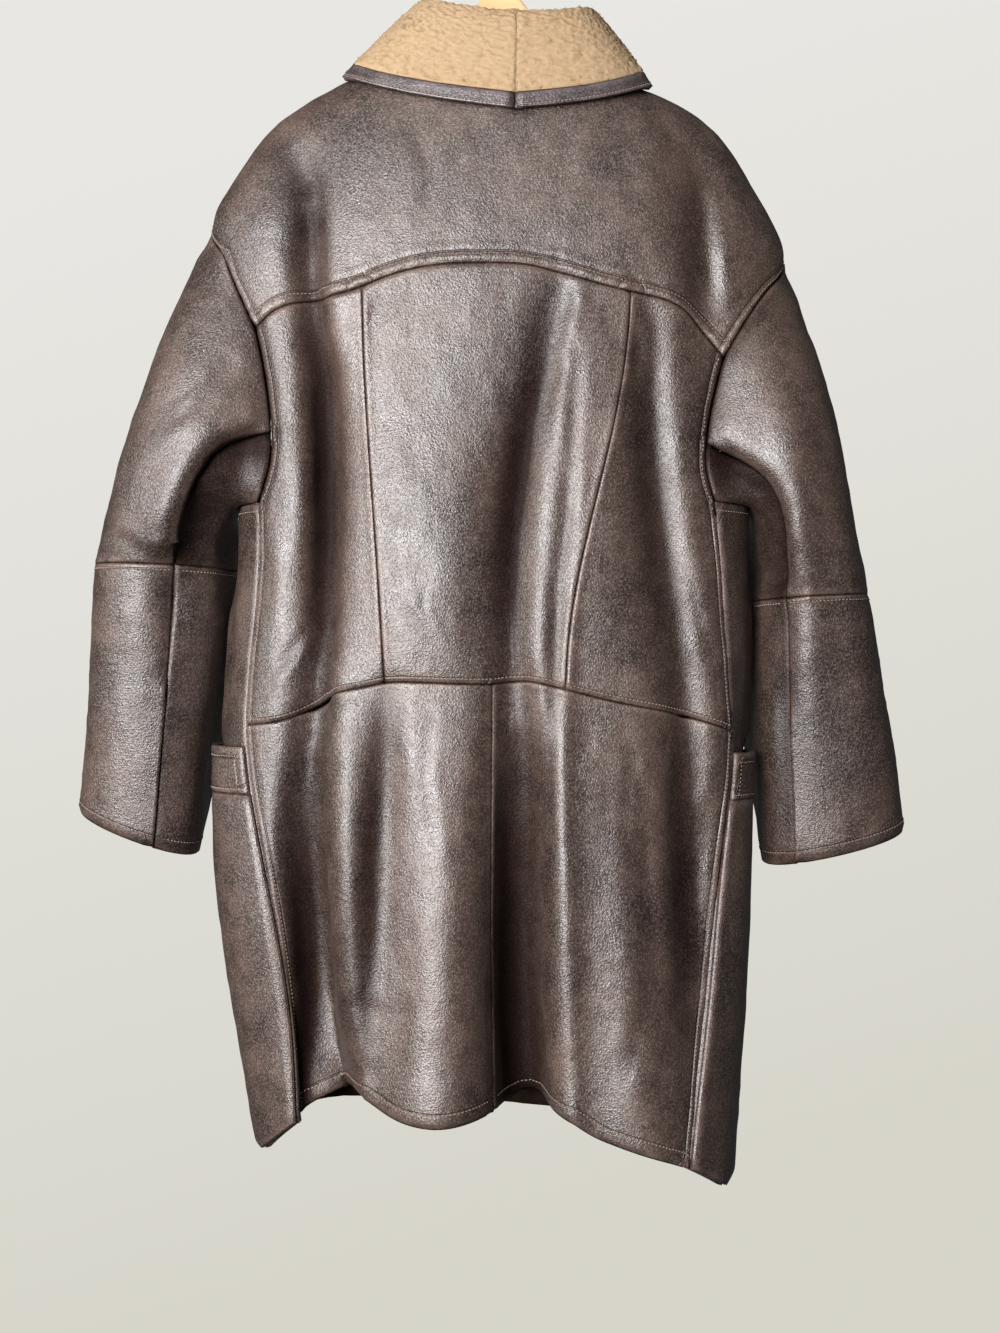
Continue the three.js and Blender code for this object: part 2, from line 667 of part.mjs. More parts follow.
const frontCells = cellsOf(row.hem, row.neck, 0, frontColumns, (r, c) => r < row.armpit || c >= armColumn);
const frontFlip = { left: true, right: false };
const sleeveCount = sleeveGrids.left[0].length - 1;
const sleeveBands = sleeveStops.length - 1;

const skin = new Map();
addNormals(skin, backGrid, cellsOf(0, row.neck, 0, column.right), false);
for (const side of ['left', 'right']) {
  addNormals(skin, frontGrids[side], frontCells, frontFlip[side]);
  addNormals(skin, sleeveGrids[side], cellsOf(0, sleeveBands, 0, sleeveCount), side === 'left');
}

// Back: yoke, three panels down to the waist seam and two skirts below it
const backPanels = table(['name', 'low', 'high', 'from', 'to'], [
  ['back_yoke', 'yoke', 'neck', 'left', 'right'],
  ['back_side_left', 'waist', 'yoke', 'left', 'seamLeft'],
  ['back_middle', 'waist', 'yoke', 'seamLeft', 'seamRight'],
  ['back_side_right', 'waist', 'yoke', 'seamRight', 'right'],
  ['back_skirt_left', 'hem', 'waist', 'left', 'middle'],
  ['back_skirt_right', 'hem', 'waist', 'middle', 'right'],
]);
for (const { name, low, high, from, to } of backPanels) {
  const cells = cellsOf(row[low], row[high], column[from], column[to]);
  add(name, panel(backGrid, cells, false, bodyWall, skin), materials.leather);
}

for (const side of ['left', 'right']) {
  const flip = frontFlip[side];
  add(`front_${side}`, panel(frontGrids[side], frontCells, flip, bodyWall, skin), materials.leather);

  // The pocket is the front's own surface moved out, most of all near the side seam
  const pocketGrid = frontGrids[side].slice(0, row.pocket + 1).map((line, r) =>
    line.slice(0, pocketColumns + 1).map((point, c) => {
      const open = smoothstep(r, 0, row.pocket) ** 0.8 * pocketLift[c];
      const normal = skin.get(keyOf(point)).clone().normalize();
      return point.clone().addScaledVector(normal, pocketStandoff + pocketWall + pocketGape * open);
    }));
  const pocketSkin = new Map();
  addNormals(pocketSkin, pocketGrid, cellsOf(0, row.pocket, 0, pocketColumns), flip);
  const pocketParts = { pocket: [row.hem, row.band], pocket_band: [row.band, row.pocket] };
  for (const [name, [low, high]] of Object.entries(pocketParts)) {
    const cells = cellsOf(low, high, 0, pocketColumns);
    const geometry = panel(pocketGrid, cells, flip, pocketWall, pocketSkin, pocketInset);
    add(`${name}_${side}`, geometry, materials.leather);
  }

  // The sleeve's two long seams part its outer side from its under side
  const seamTo = sleeveCount - sleeveSeam;
  const outerSide = (r, c) => c < sleeveSeam || c >= seamTo;
  const lengths = { upper: [0, elbowRing], lower: [elbowRing, sleeveBands] };
  for (const [part, [from, to]] of Object.entries(lengths)) {
    const top = cellsOf(from, to, 0, sleeveCount, outerSide);
    const under = cellsOf(from, to, sleeveSeam, seamTo);
    const grid = sleeveGrids[side];
    add(`sleeve_${part}_top_${side}`, panel(grid, top, side === 'left', bodyWall, skin), materials.leather);
    add(`sleeve_${part}_under_${side}`, panel(grid, under, side === 'left', bodyWall, skin), materials.leather);
  }
}

// The neckline from the left front's edge round the back to the right front's edge
const neckPoints = [
  ...frontGrids.left[row.neck].slice(armColumn).reverse(),
  ...backGrid[row.neck].slice(1),
  ...frontGrids.right[row.neck].slice(armColumn + 1),
];
const neckLengths = neckPoints.map((_, i) =>
  neckPoints.slice(1, i + 1).reduce((sum, point, k) => sum + point.distanceTo(neckPoints[k]), 0));
const neckRows = neckPoints.map(({ x, y, z }, i) => ({ along: neckLengths[i], x, y, z }));
const leftShoulder = frontColumns - armColumn;
const rightShoulder = leftShoulder + column.right;

function neckAlong(x, from, to) {
  let i = from;
  while (i < to - 1 && (neckPoints[i].x - x) * (neckPoints[i + 1].x - x) > 0) i += 1;
  const share = (x - neckPoints[i].x) / (neckPoints[i + 1].x - neckPoints[i].x);
  return lerp(neckLengths[i], neckLengths[i + 1], share);
}

const collarAlong = table(['turn', 'along'], [
  [0, neckAlong(collarEnds.left, 0, leftShoulder)],
  [3, neckLengths[leftShoulder]],
  [5, neckAlong(collarEnds.middle, leftShoulder, rightShoulder)],
  [7, neckLengths[rightShoulder]],
  [10, neckAlong(collarEnds.right, rightShoulder, neckPoints.length - 1)],
]);

// The collar stands on the neckline, rolls over and lies on the shoulders, wool side out
function collarLine(turn) {
  const at = (name) => read(collarStations, 'turn', name, turn);
  const along = read(collarAlong, 'turn', 'along', turn);
  const neckAt = (place) => ['x', 'y', 'z'].map((name) => read(neckRows, 'along', name, place));
  const onNeck = (place) => new THREE.Vector3(...neckAt(place));
  const neckline = onNeck(along);
  const outward = neckline.clone().setZ(0).normalize();
  const away = outward.clone().cross(onNeck(along + 4).sub(onNeck(along - 4))).normalize();
  const neck = neckline.addScaledVector(away, neckClearance).addScaledVector(outward, -collarWall);
  const roll = new THREE.Vector3(at('rollX'), at('rollY'), at('rollZ'));
  const edgeZ = read(collarEdge, 'angle', 'z', at('edge'));
  const edgePoint = bodyPoint(at('edge'), edgeZ);
  const across = bodyPoint(at('edge') + 1, edgeZ).sub(bodyPoint(at('edge') - 1, edgeZ));
  const upward = bodyPoint(at('edge'), edgeZ + 3).sub(bodyPoint(at('edge'), edgeZ - 3));
  const normal = across.cross(upward).normalize();
  const edge = edgePoint.clone().addScaledVector(normal, collarWall + collarLift);
  const inside = neck.clone().addScaledVector(outward, -2).setZ(lerp(neck.z, roll.z, 0.55));
  const outside = roll.clone().addScaledVector(outward, 11).setZ(at('rollZ') - 10);
  const middle = outside.clone().lerp(edge, 0.52).addScaledVector(outward, 2.5);
  return new THREE.CatmullRomCurve3([neck, inside, roll, outside, middle, edge], false, 'centripetal');
}

const collarLines = Array.from({ length: collarColumns + 1 }, (_, i) => {
  const turns = collarStations.length - 1;
  return collarLine((turns * i) / collarColumns);
});
const collarGrid = [
  ...collarStops.map((stop) => collarLines.map((line) => line.getPointAt(stop))),
  collarLines.map((line) => line.getPointAt(1 - edgingHeight / line.getLength())),
  collarLines.map((line) => line.getPointAt(1)),
];
const woolRows = collarStops.length;
const collarSkin = new Map();
addNormals(collarSkin, collarGrid, cellsOf(0, woolRows + 1, 0, collarColumns), true);
for (const [side, from, to] of [['left', 0, collarColumns / 2], ['right', collarColumns / 2, collarColumns]]) {
  const wool = cellsOf(0, woolRows, from, to);
  const strip = cellsOf(woolRows, woolRows + 1, from, to);
  add(`collar_${side}`, panel(collarGrid, wool, true, collarWall, collarSkin), materials.wool);
  add(`collar_edging_${side}`, panel(collarGrid, strip, true, collarWall, collarSkin), materials.edging);
}

// Buttons down the middle of the overlapping front
const buttonProfile = table(['reach', 'height'], [
  [0, 0], [0.93, 0], [1, 1.4], [1, 3.4], [0.89, 4.8], [0.67, 4.2], [0.61, 3.4], [0, 3.4],
]);
buttonHeights.forEach((z, i) => {
  const angle = angleAt(buttonAcross, z, 'front');
  const normal = bodyPoint(angle + 2, z).sub(bodyPoint(angle - 2, z))
    .cross(bodyPoint(angle, z + 10).sub(bodyPoint(angle, z - 10))).normalize();
  const profile = buttonProfile.map(({ reach, height }) => new THREE.Vector2(reach * buttonRadius, height));
  const mesh = add(`button_${i + 1}`, new THREE.LatheGeometry(profile, 16), materials.button);
  mesh.position.copy(bodyPoint(angle, z)).addScaledVector(normal, 0.8);
  mesh.quaternion.setFromUnitVectors(new THREE.Vector3(0, 1, 0), normal);
});

// Hanger: a flat wooden bar with rounded edges and a wire hook, tilted a little about the hook
const outline = new THREE.Shape();
const mirrored = (rows) => [...rows].reverse().map(({ x, z }) => new THREE.Vector2(-x, z));
const toFlat = (rows) => rows.map(({ x, z }) => new THREE.Vector2(x, z));
const upperLine = [...mirrored(hangerUpper), ...toFlat(hangerUpper).slice(1)];
const lowerLine = [...toFlat(hangerLower), ...mirrored(hangerLower).slice(1)];
outline.moveTo(upperLine[0].x, upperLine[0].y);
outline.splineThru(upperLine.slice(1));
outline.lineTo(lowerLine[0].x, lowerLine[0].y);
outline.splineThru(lowerLine.slice(1));
const bar = new THREE.ExtrudeGeometry(outline, {
  depth: hangerDepth - 2 * hangerRound,
  bevelThickness: hangerRound,
  bevelSize: hangerRound,
  bevelOffset: -hangerRound,
  bevelSegments: 2,
  curveSegments: 2,
});
bar.rotateX(Math.PI / 2).translate(0, hangerDepth / 2 - hangerRound, 0);
add('hanger_bar', bar, materials.wood).rotation.y = radians(hangerTilt);

const hookSection = new THREE.Shape().absarc(0, 0, hookWire, 0, 2 * Math.PI);
const hookCurve = new THREE.CatmullRomCurve3(hookPath.map(([x, z]) => new THREE.Vector3(x, 0, z)));
const hook = new THREE.ExtrudeGeometry(hookSection, { steps: 36, curveSegments: 4, extrudePath: hookCurve });
add('hanger_hook', hook, materials.steel).rotation.y = radians(hangerTilt);

export default coat;
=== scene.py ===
import itertools
import math

import bmesh
import bpy
import numpy as np
from mathutils import Matrix, Vector
from mathutils.bvhtree import BVHTree
from mathutils.kdtree import KDTree


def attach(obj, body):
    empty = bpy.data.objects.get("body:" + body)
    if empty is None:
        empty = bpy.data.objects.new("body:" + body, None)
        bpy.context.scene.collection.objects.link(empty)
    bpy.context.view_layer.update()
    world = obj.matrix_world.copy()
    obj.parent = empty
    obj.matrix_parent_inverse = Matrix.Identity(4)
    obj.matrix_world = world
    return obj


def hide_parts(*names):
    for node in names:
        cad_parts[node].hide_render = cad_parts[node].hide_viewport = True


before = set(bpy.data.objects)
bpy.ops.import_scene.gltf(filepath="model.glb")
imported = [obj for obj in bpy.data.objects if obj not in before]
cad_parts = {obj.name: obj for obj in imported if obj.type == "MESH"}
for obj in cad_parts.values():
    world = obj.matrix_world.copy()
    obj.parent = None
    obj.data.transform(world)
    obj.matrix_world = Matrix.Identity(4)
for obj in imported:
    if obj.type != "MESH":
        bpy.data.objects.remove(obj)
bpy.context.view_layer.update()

# Sizes below are in millimetres in the frame's axes, and turned to metres with this
mm = 0.001
sideNames = ("left", "right")


def table(names, rows):
    return [dict(zip(names, row)) for row in rows]


def smooth(value, low, high):
    t = np.clip((value - low) / (high - low), 0, 1)
    return t * t * (3 - 2 * t)


def bump(away, width):
    return np.exp(-((away / width) ** 2))


def unit(vectors):
    return vectors / np.maximum(np.linalg.norm(vectors, axis=-1, keepdims=True), 1e-12)


# Smooth noise from -1 to 1, at points counted in noise cells
def noiseAt(points, seed):
    cell = np.floor(points).astype(np.int64)
    part = points - cell
    ease = part * part * (3 - 2 * part)
    total = np.zeros(len(points))
    for corner in itertools.product((0, 1), repeat=3):
        key = cell + np.array(corner)
        mixed = key[:, 0] * 374761393 + key[:, 1] * 668265263 + key[:, 2] * 1442695041 + seed * 974634777
        mixed = (((mixed & 0xFFFFFFFF) ^ ((mixed & 0xFFFFFFFF) >> 13)) * 1274126177) & 0xFFFFFFFF
        value = ((mixed ^ (mixed >> 16)) & 0xFFFF) / 32767.5 - 1
        total += value * np.prod(np.where(np.array(corner) == 1, ease, 1 - ease), axis=1)
    return total


def pointsOf(mesh):
    points = np.zeros(len(mesh.vertices) * 3)
    mesh.vertices.foreach_get("co", points)
    return points.reshape(-1, 3) / mm


def normalsOf(mesh):
    normals = np.zeros(len(mesh.vertices) * 3)
    mesh.vertices.foreach_get("normal", normals)
    return normals.reshape(-1, 3)


def setPoints(mesh, points):
    mesh.vertices.foreach_set("co", (points * mm).astype(np.float32).ravel())
    mesh.update()


def setAttribute(mesh, name, values):
    attribute = mesh.attributes.get(name) or mesh.attributes.new(name, "FLOAT", "POINT")
    attribute.data.foreach_set("value", np.asarray(values, np.float32))


def meshOf(name, points, faces):
    mesh = bpy.data.meshes.new(name)
    mesh.from_pydata((np.asarray(points) * mm).tolist(), [], faces)
    return mesh


def objectOf(name, mesh):
    thing = bpy.data.objects.new(name, mesh)
    bpy.context.scene.collection.objects.link(thing)
    return thing


# The axis that a panel lies round, as points from its top down
axes = {
    "body": table(("z", "x", "y"), [(0, -18, -10), (-1300, -18, -10)]),
    "left": table(("z", "x", "y"), [(-300, -270, 0), (-560, -325, 0), (-640, -340, 5), (-920, -366, 25)]),
    "right": table(("z", "x", "y"), [(-320, 260, 0), (-560, 290, 0), (-650, 300, 5), (-930, 330, 25)]),
}


def axisAt(name, z):
    rows = axes[name][::-1]
    return [np.interp(z, [row["z"] for row in rows], [row[key] for row in rows]) for key in ("x", "y")]


# The outer faces of a CAD wall. A rim face holds an edge as long as the wall is thick
def outerSkin(name, wall, axis):
    bm = bmesh.new()
    bm.from_mesh(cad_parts[name].data)
    bmesh.ops.remove_doubles(bm, verts=bm.verts, dist=0.02 * mm)
    bm.normal_update()
    across = {edge for edge in bm.edges if abs(edge.calc_length() / mm - wall) < 0.02}
    rims = {face for face in bm.faces if any(edge in across for edge in face.edges)}
    regions = []
    seen = set(rims)
    for start in bm.faces:
        if start in seen:
            continue
        region = []
        stack = [start]
        seen.add(start)
        while stack:
            face = stack.pop()
            region.append(face)
            for edge in face.edges:
                for other in edge.link_faces:
                    if other not in seen:
                        seen.add(other)
                        stack.append(other)
        regions.append(region)

    def outwardness(region):
        if axis is None:
            return sum(face.calc_area() for face in region)
        total = 0
        for face in region:
            centre = face.calc_center_median() / mm
            x, y = axisAt(axis, centre.z)
            total += face.calc_area() * face.normal.dot(Vector((centre.x - x, centre.y - y, 0)))
        return total

    regions.sort(key=outwardness)
    keep = set(regions[-1])
    bmesh.ops.delete(bm, geom=[face for face in bm.faces if face not in keep], context="FACES")
    bmesh.ops.join_triangles(
        bm, faces=bm.faces, angle_face_threshold=math.radians(60), angle_shape_threshold=math.radians(80)
    )
    sharp = bm.verts.layers.float.new("crease_vert")
    for vert in bm.verts:
        open_ = [edge.other_vert(vert).co - vert.co for edge in vert.link_edges if edge.is_boundary]
        if len(open_) == 2 and open_[0].angle(-open_[1]) > math.radians(35):
            vert[sharp] = 1
    mesh = bpy.data.meshes.new(name + "_skin")
    bm.to_mesh(mesh)
    bm.free()
    return mesh


def subdivided(mesh, levels):
    coarse = objectOf(mesh.name, mesh)
    modifier = coarse.modifiers.new("smooth", "SUBSURF")
    modifier.levels = modifier.render_levels = levels
    modifier.boundary_smooth = "PRESERVE_CORNERS"
    dense = bpy.data.meshes.new_from_object(coarse.evaluated_get(bpy.context.evaluated_depsgraph_get()))
    bpy.data.objects.remove(coarse)
    return dense


# The vertices round a sheet's edge, in order
def rimOf(mesh):
    edgeOfLoop = np.zeros(len(mesh.loops), np.int64)
    mesh.loops.foreach_get("edge_index", edgeOfLoop)
    open_ = np.nonzero(np.bincount(edgeOfLoop, minlength=len(mesh.edges)) == 1)[0]
    beside = {}
    for index in open_:
        a, b = mesh.edges[index].vertices
        beside.setdefault(a, []).append(b)
        beside.setdefault(b, []).append(a)
    start = min(beside)
    order = [start]
    before, here = None, start
    while True:
        onward = [other for other in beside[here] if other != before]
        before, here = here, onward[0]
        if here == start:
            break
        order.append(here)
    return np.array(order)


# Leather panels: how finely each is worked, its wall and the axis it lies round
panels = table(
    ("name", "levels", "wall", "axis"),
    [
        ("back_yoke", 3, 5, "body"),
        ("back_side_left", 3, 5, "body"),
        ("back_middle", 3, 5, "body"),
        ("back_side_right", 3, 5, "body"),
        ("back_skirt_left", 3, 5, "body"),
        ("back_skirt_right", 3, 5, "body"),
        *[("front_" + side, 2, 5, "body") for side in sideNames],
        *[("pocket_" + side, 2, 3.5, "body") for side in sideNames],
        *[("pocket_band_" + side, 3, 3.5, "body") for side in sideNames],
        *[(f"sleeve_{part}_top_{side}", 3, 5, side) for side in sideNames for part in ("upper", "lower")],
        *[(f"sleeve_{part}_under_{side}", 2, 5, side) for side in sideNames for part in ("upper", "lower")],
        *[("collar_edging_" + side, 3, 6, "body") for side in sideNames],
        *[("collar_" + side, 3, 6, None) for side in sideNames],
    ],
)
sheets = {}
for panel in panels:
    name = panel["name"]
    mesh = subdivided(outerSkin(name, panel["wall"], panel["axis"]), panel["levels"])
    points, normals, rim = pointsOf(mesh), normalsOf(mesh), rimOf(mesh)
    sheets[name] = {**panel, "mesh": mesh, "points": points, "normals": normals, "rim": rim}
print("sheets cut", sum(len(sheet["mesh"].polygons) for sheet in sheets.values()), "faces")

# Seams, named by the sheet that each profile is on and the one beside it: how far in the
# stitched row runs, the band's crown, the groove along the seam and the puckers across it
joins = table(
    ("on", "beside", "row", "crown", "groove", "pucker"),
    [
        ("back_yoke", "back_", 11.5, 1.5, 0.9, 0.6),
        ("back_yoke", "sleeve_", 8, 1.1, 1.1, 0.3),
        ("back_yoke", "front_", 8, 0.9, 1.0, 0.3),
        ("back_side_", "sleeve_", 8, 1.1, 1.1, 0.3),
        ("front_", "sleeve_", 8, 1.1, 1.1, 0.3),
        ("back_side_", "back_skirt_", 5, 0.8, 0.7, 0.6),
        ("back_middle", "back_skirt_", 5, 0.8, 0.7, 0.5),
        ("back_side_", "front_", 7, 0.8, 1.1, 0.4),
        ("back_skirt_", "front_", 7, 0.8, 1.1, 0.4),
        ("back_skirt_left", "back_skirt_right", 0, 0.5, 0.6, 0.4),
        ("back_middle", "back_side_", 0, 0.8, 0.5, 0.2),
        ("sleeve_lower_top", "sleeve_upper", 5, 0.7, 0.6, 0.4),
        ("sleeve_lower_under", "sleeve_upper", 5, 0.7, 0.6, 0.6),
        ("pocket_band_", "open", 12, 0.7, 1.4, 0.3),
        ("pocket_band_", "pocket_", 5, 0.6, 0.9, 0.3),
        ("collar_edging_", "open", 3.4, 0.5, 1.4, 0.5),
        ("back_skirt_", "open", 14, 0.8, 1.8, 0.5),
        ("front_", "open", 14, 0.8, 1.8, 0.5),
        ("sleeve_lower_", "open", 12, 0.7, 1.8, 0.5),
        ("", "", 0, 0.5, 0.5, 0.3),
    ],
)
groups = (("back_", "front_", "sleeve_"), ("pocket_",), ("collar_",))
reach = 60
puckerLength = 6.5


def joinOf(name, beside):
    return next(join for join in joins if name.startswith(join["on"]) and beside.startswith(join["beside"]))


def treeOf(points):
    tree = KDTree(len(points))
    for i, point in enumerate(points):
        tree.insert(point, i)
    tree.balance()
    return tree


# What lies beside each rim point: another sheet of the same group, if one is this near
besideGap = 7.5
for group in groups:
    members = [name for name in sheets if name.startswith(group)]
    for name in members:
        sheet = sheets[name]
        others = [other for other in members if other != name]
        owners = [other for other in others for _ in sheets[other]["rim"]]
        tree = treeOf(np.concatenate([sheets[other]["points"][sheets[other]["rim"]] for other in others]))
        sheet["beside"] = []
        for point in sheet["points"][sheet["rim"]]:
            _, i, distance = tree.find(point)
            sheet["beside"].append(owners[i] if distance < besideGap else "open")


# Distance of points from a polyline, with the nearest place on it
def fromLine(points, line):
    best = np.full(len(points), 1e9)
    place = np.zeros_like(points)
    for a, b in zip(line[:-1], line[1:]):
        along = b - a
        t = np.clip(((points - a) @ along) / max(along @ along, 1e-9), 0, 1)
        near = a + t[:, None] * along
        distance = np.linalg.norm(points - near, axis=1)
        closer = distance < best
        best[closer] = distance[closer]
        place[closer] = near[closer]
    return best, place


# Rims are drawn together along each seam, and the sheet near them follows
followReach = 14


def closeSeams():
    moves = {}
    for name, sheet in sheets.items():
        points = sheet["points"][sheet["rim"]]
        move = np.zeros_like(points)
        for beside in sorted(set(sheet["beside"]) - {"open"}):
            marked = np.array([other == beside for other in sheet["beside"]])
            line = sheets[beside]["points"][sheets[beside]["rim"]]
            _, place = fromLine(points[marked], np.vstack([line, line[:1]]))
            move[marked] = (place - points[marked]) / 2
        moves[name] = move
    for name, sheet in sheets.items():
        tree = treeOf(sheet["points"][sheet["rim"]])
        found = [tree.find(point) for point in sheet["points"]]
        share = 1 - smooth(np.array([row[2] for row in found]), 0, followReach)
        sheet["points"] = sheet["points"] + moves[name][[row[1] for row in found]] * share[:, None]


# Runs of neighbouring rim points that share a seam
def runsOf(sheet, beside):
    marks = [other == beside for other in sheet["beside"]]
    count = len(marks)
    if all(marks):
        return [list(range(count))]
    start = next(i for i in range(count) if not marks[i])
    runs, run = [], []
    for k in range(count + 1):
        i = (start + k) % count
        if marks[i]:
            run.append(i)
        elif run:
            runs.append(run)
            run = []
    return runs


# The shoulder points are laid flush: the tips go in, and the sleeves a little below them out
tipMove = {"inward": 6.5, "round": 20, "outward": 4.5, "below": 34, "roundBelow": 22}


def layTips():
    yoke = sheets["back_yoke"]["points"]
    tips = {"left": yoke[yoke[:, 0].argmin()].copy(), "right": yoke[yoke[:, 0].argmax()].copy()}
    for side, tip in tips.items():
        inward = np.array([1 if side == "left" else -1, 0, 0])
        below = tip - np.array([0, 0, tipMove["below"]])
        for name in ("back_yoke", "front_" + side, "sleeve_upper_top_" + side):
            points = sheets[name]["points"]
            step = tipMove["inward"] * bump(np.linalg.norm(points - tip, axis=1), tipMove["round"])
            if name.startswith("sleeve"):
                away = np.linalg.norm(points - below, axis=1)
                step -= tipMove["outward"] * bump(away, tipMove["roundBelow"])
            points += step[:, None] * inward


closeSeams()
layTips()

# Seams that sink into a fold: which sheet, beside which, how deep and how much painted shade
# darkens the sunk seam, how fast the sheet rises again, and between what heights. A minus depth
# is a roll. Each fades towards the sheet's other seams
tuckFade = 24
tucks = table(
    ("on", "beside", "deep", "dark", "wide", "low", "high"),
    [
        ("sleeve_upper_top_left", "sleeve_upper_under", 15, 0.6, 8, -640, -430),
        ("sleeve_upper_top_left", "sleeve_upper_under", -6, 0, 34, -640, -430),
        ("sleeve_upper_under_left", "sleeve_upper_top", 17, 0.95, 60, -640, -430),
        ("sleeve_lower_top_left", "sleeve_lower_under", 4, 0.5, 8, -930, -600),
        ("sleeve_lower_under_left", "sleeve_lower_top", 4, 0.35, 26, -930, -600),
        ("sleeve_upper_top_right", "sleeve_upper_under", 12, 0.6, 8, -670, -470),
        ("sleeve_upper_top_right", "sleeve_upper_under", -5, 0, 30, -670, -470),
        ("sleeve_upper_under_right", "sleeve_upper_top", 14, 0.95, 50, -670, -470),
        ("sleeve_lower_top_right", "sleeve_lower_under", 4, 0.5, 8, -930, -630),
        ("sleeve_lower_under_right", "sleeve_lower_top", 4, 0.6, 26, -930, -630),
        ("sleeve_upper_top_", "back_", 0, 0.8, 9, -590, -380),
        ("back_side_", "sleeve_upper", 0, 0.8, 13, -590, -380),
        ("back_side_", "front_", 1.5, 0.2, 9, -760, -560),
        ("front_", "back_side_", 1.5, 0.2, 12, -760, -560),
    ],
)


def tuckLift(name, beside, away, place):
    lift = np.zeros(len(away))
    dark = np.zeros(len(away))
    for tuck in tucks:
        if name.startswith(tuck["on"]) and beside.startswith(tuck["beside"]):
            within = smooth(place[:, 2], tuck["low"] - 20, tuck["low"] + 20)
            within *= 1 - smooth(place[:, 2], tuck["high"] - 30, tuck["high"] + 50)
            behind = 1 - smooth(place[:, 1], 20, 50)
            share = within * behind * np.exp(-((away / tuck["wide"]) ** 1.4))
            lift -= tuck["deep"] * share
            # dark is painted shade laid along the sunk seam, later darkening the leather's colour
            dark = np.maximum(dark, tuck["dark"] * share)
    return lift, dark


def seamShape(name, sheet):
    points = sheet["points"]
    rimPoints = points[sheet["rim"]]
    tree = treeOf(rimPoints)
    near = np.array([tree.find(point)[2] < reach for point in points])
    index = np.nonzero(near)[0]
    lift = np.zeros(len(points))
    seam = np.full(len(points), 30.0)
    stitch = np.full(len(points), 30.0)
    hollow = np.zeros(len(points))
    sheet["rows"] = []
    for beside in sorted(set(sheet["beside"])):
        join = joinOf(name, beside)
        for run in runsOf(sheet, beside):
            if len(run) < 3:
                continue
            line = rimPoints[[run[0] - 1, *run, (run[-1] + 1) % len(rimPoints)]]
            away, place = fromLine(points[index], line)
            row = join["row"]
            width = row or 7
            shape = -join["groove"] * bump(away, 2.2)
            shape += join["crown"] * bump(away - 0.45 * width, 0.36 * width)
            tucked, dark = tuckLift(name, beside, away, place)
            if tucked.any():
                elsewhere = [i for i, other in enumerate(sheet["beside"]) if other != beside]
                others = treeOf(rimPoints[elsewhere])
                tucked *= smooth(np.array([others.find(point)[2] for point in points[index]]), 0, tuckFade)
            shape += tucked
            # The tucks' dark share is gathered here as painted shade
            hollow[index] = np.maximum(hollow[index], dark)
            if row:
                shape -= 0.35 * join["crown"] * bump(away - row, 2.4)
                shape += 0.25 * join["crown"] * bump(away - row - 5, 4)
            pucker = noiseAt(place / puckerLength, 11) + 0.5 * noiseAt(place / (0.5 * puckerLength), 12)
            shape += join["pucker"] * pucker * np.clip(away / 2, 0, 1) * np.exp(-away / 10)
            lift[index] += shape
            seam[index] = np.minimum(seam[index], away)
            if row:
                closer = np.abs(away - row) < np.abs(stitch[index])
                stitch[index] = np.where(closer, away - row, stitch[index])
                sheet["rows"].append({"run": run, "row": row})
    return lift, seam, stitch, hollow


# Creases seen in the photo, and some like them on the hidden sides. A positive depth is a
# trough, and the ridge stands on its left, seen along the points
def crease(depth, width, ridge, *path):
    return {"depth": depth, "width": width, "ridge": ridge, "path": np.array(path, float)}


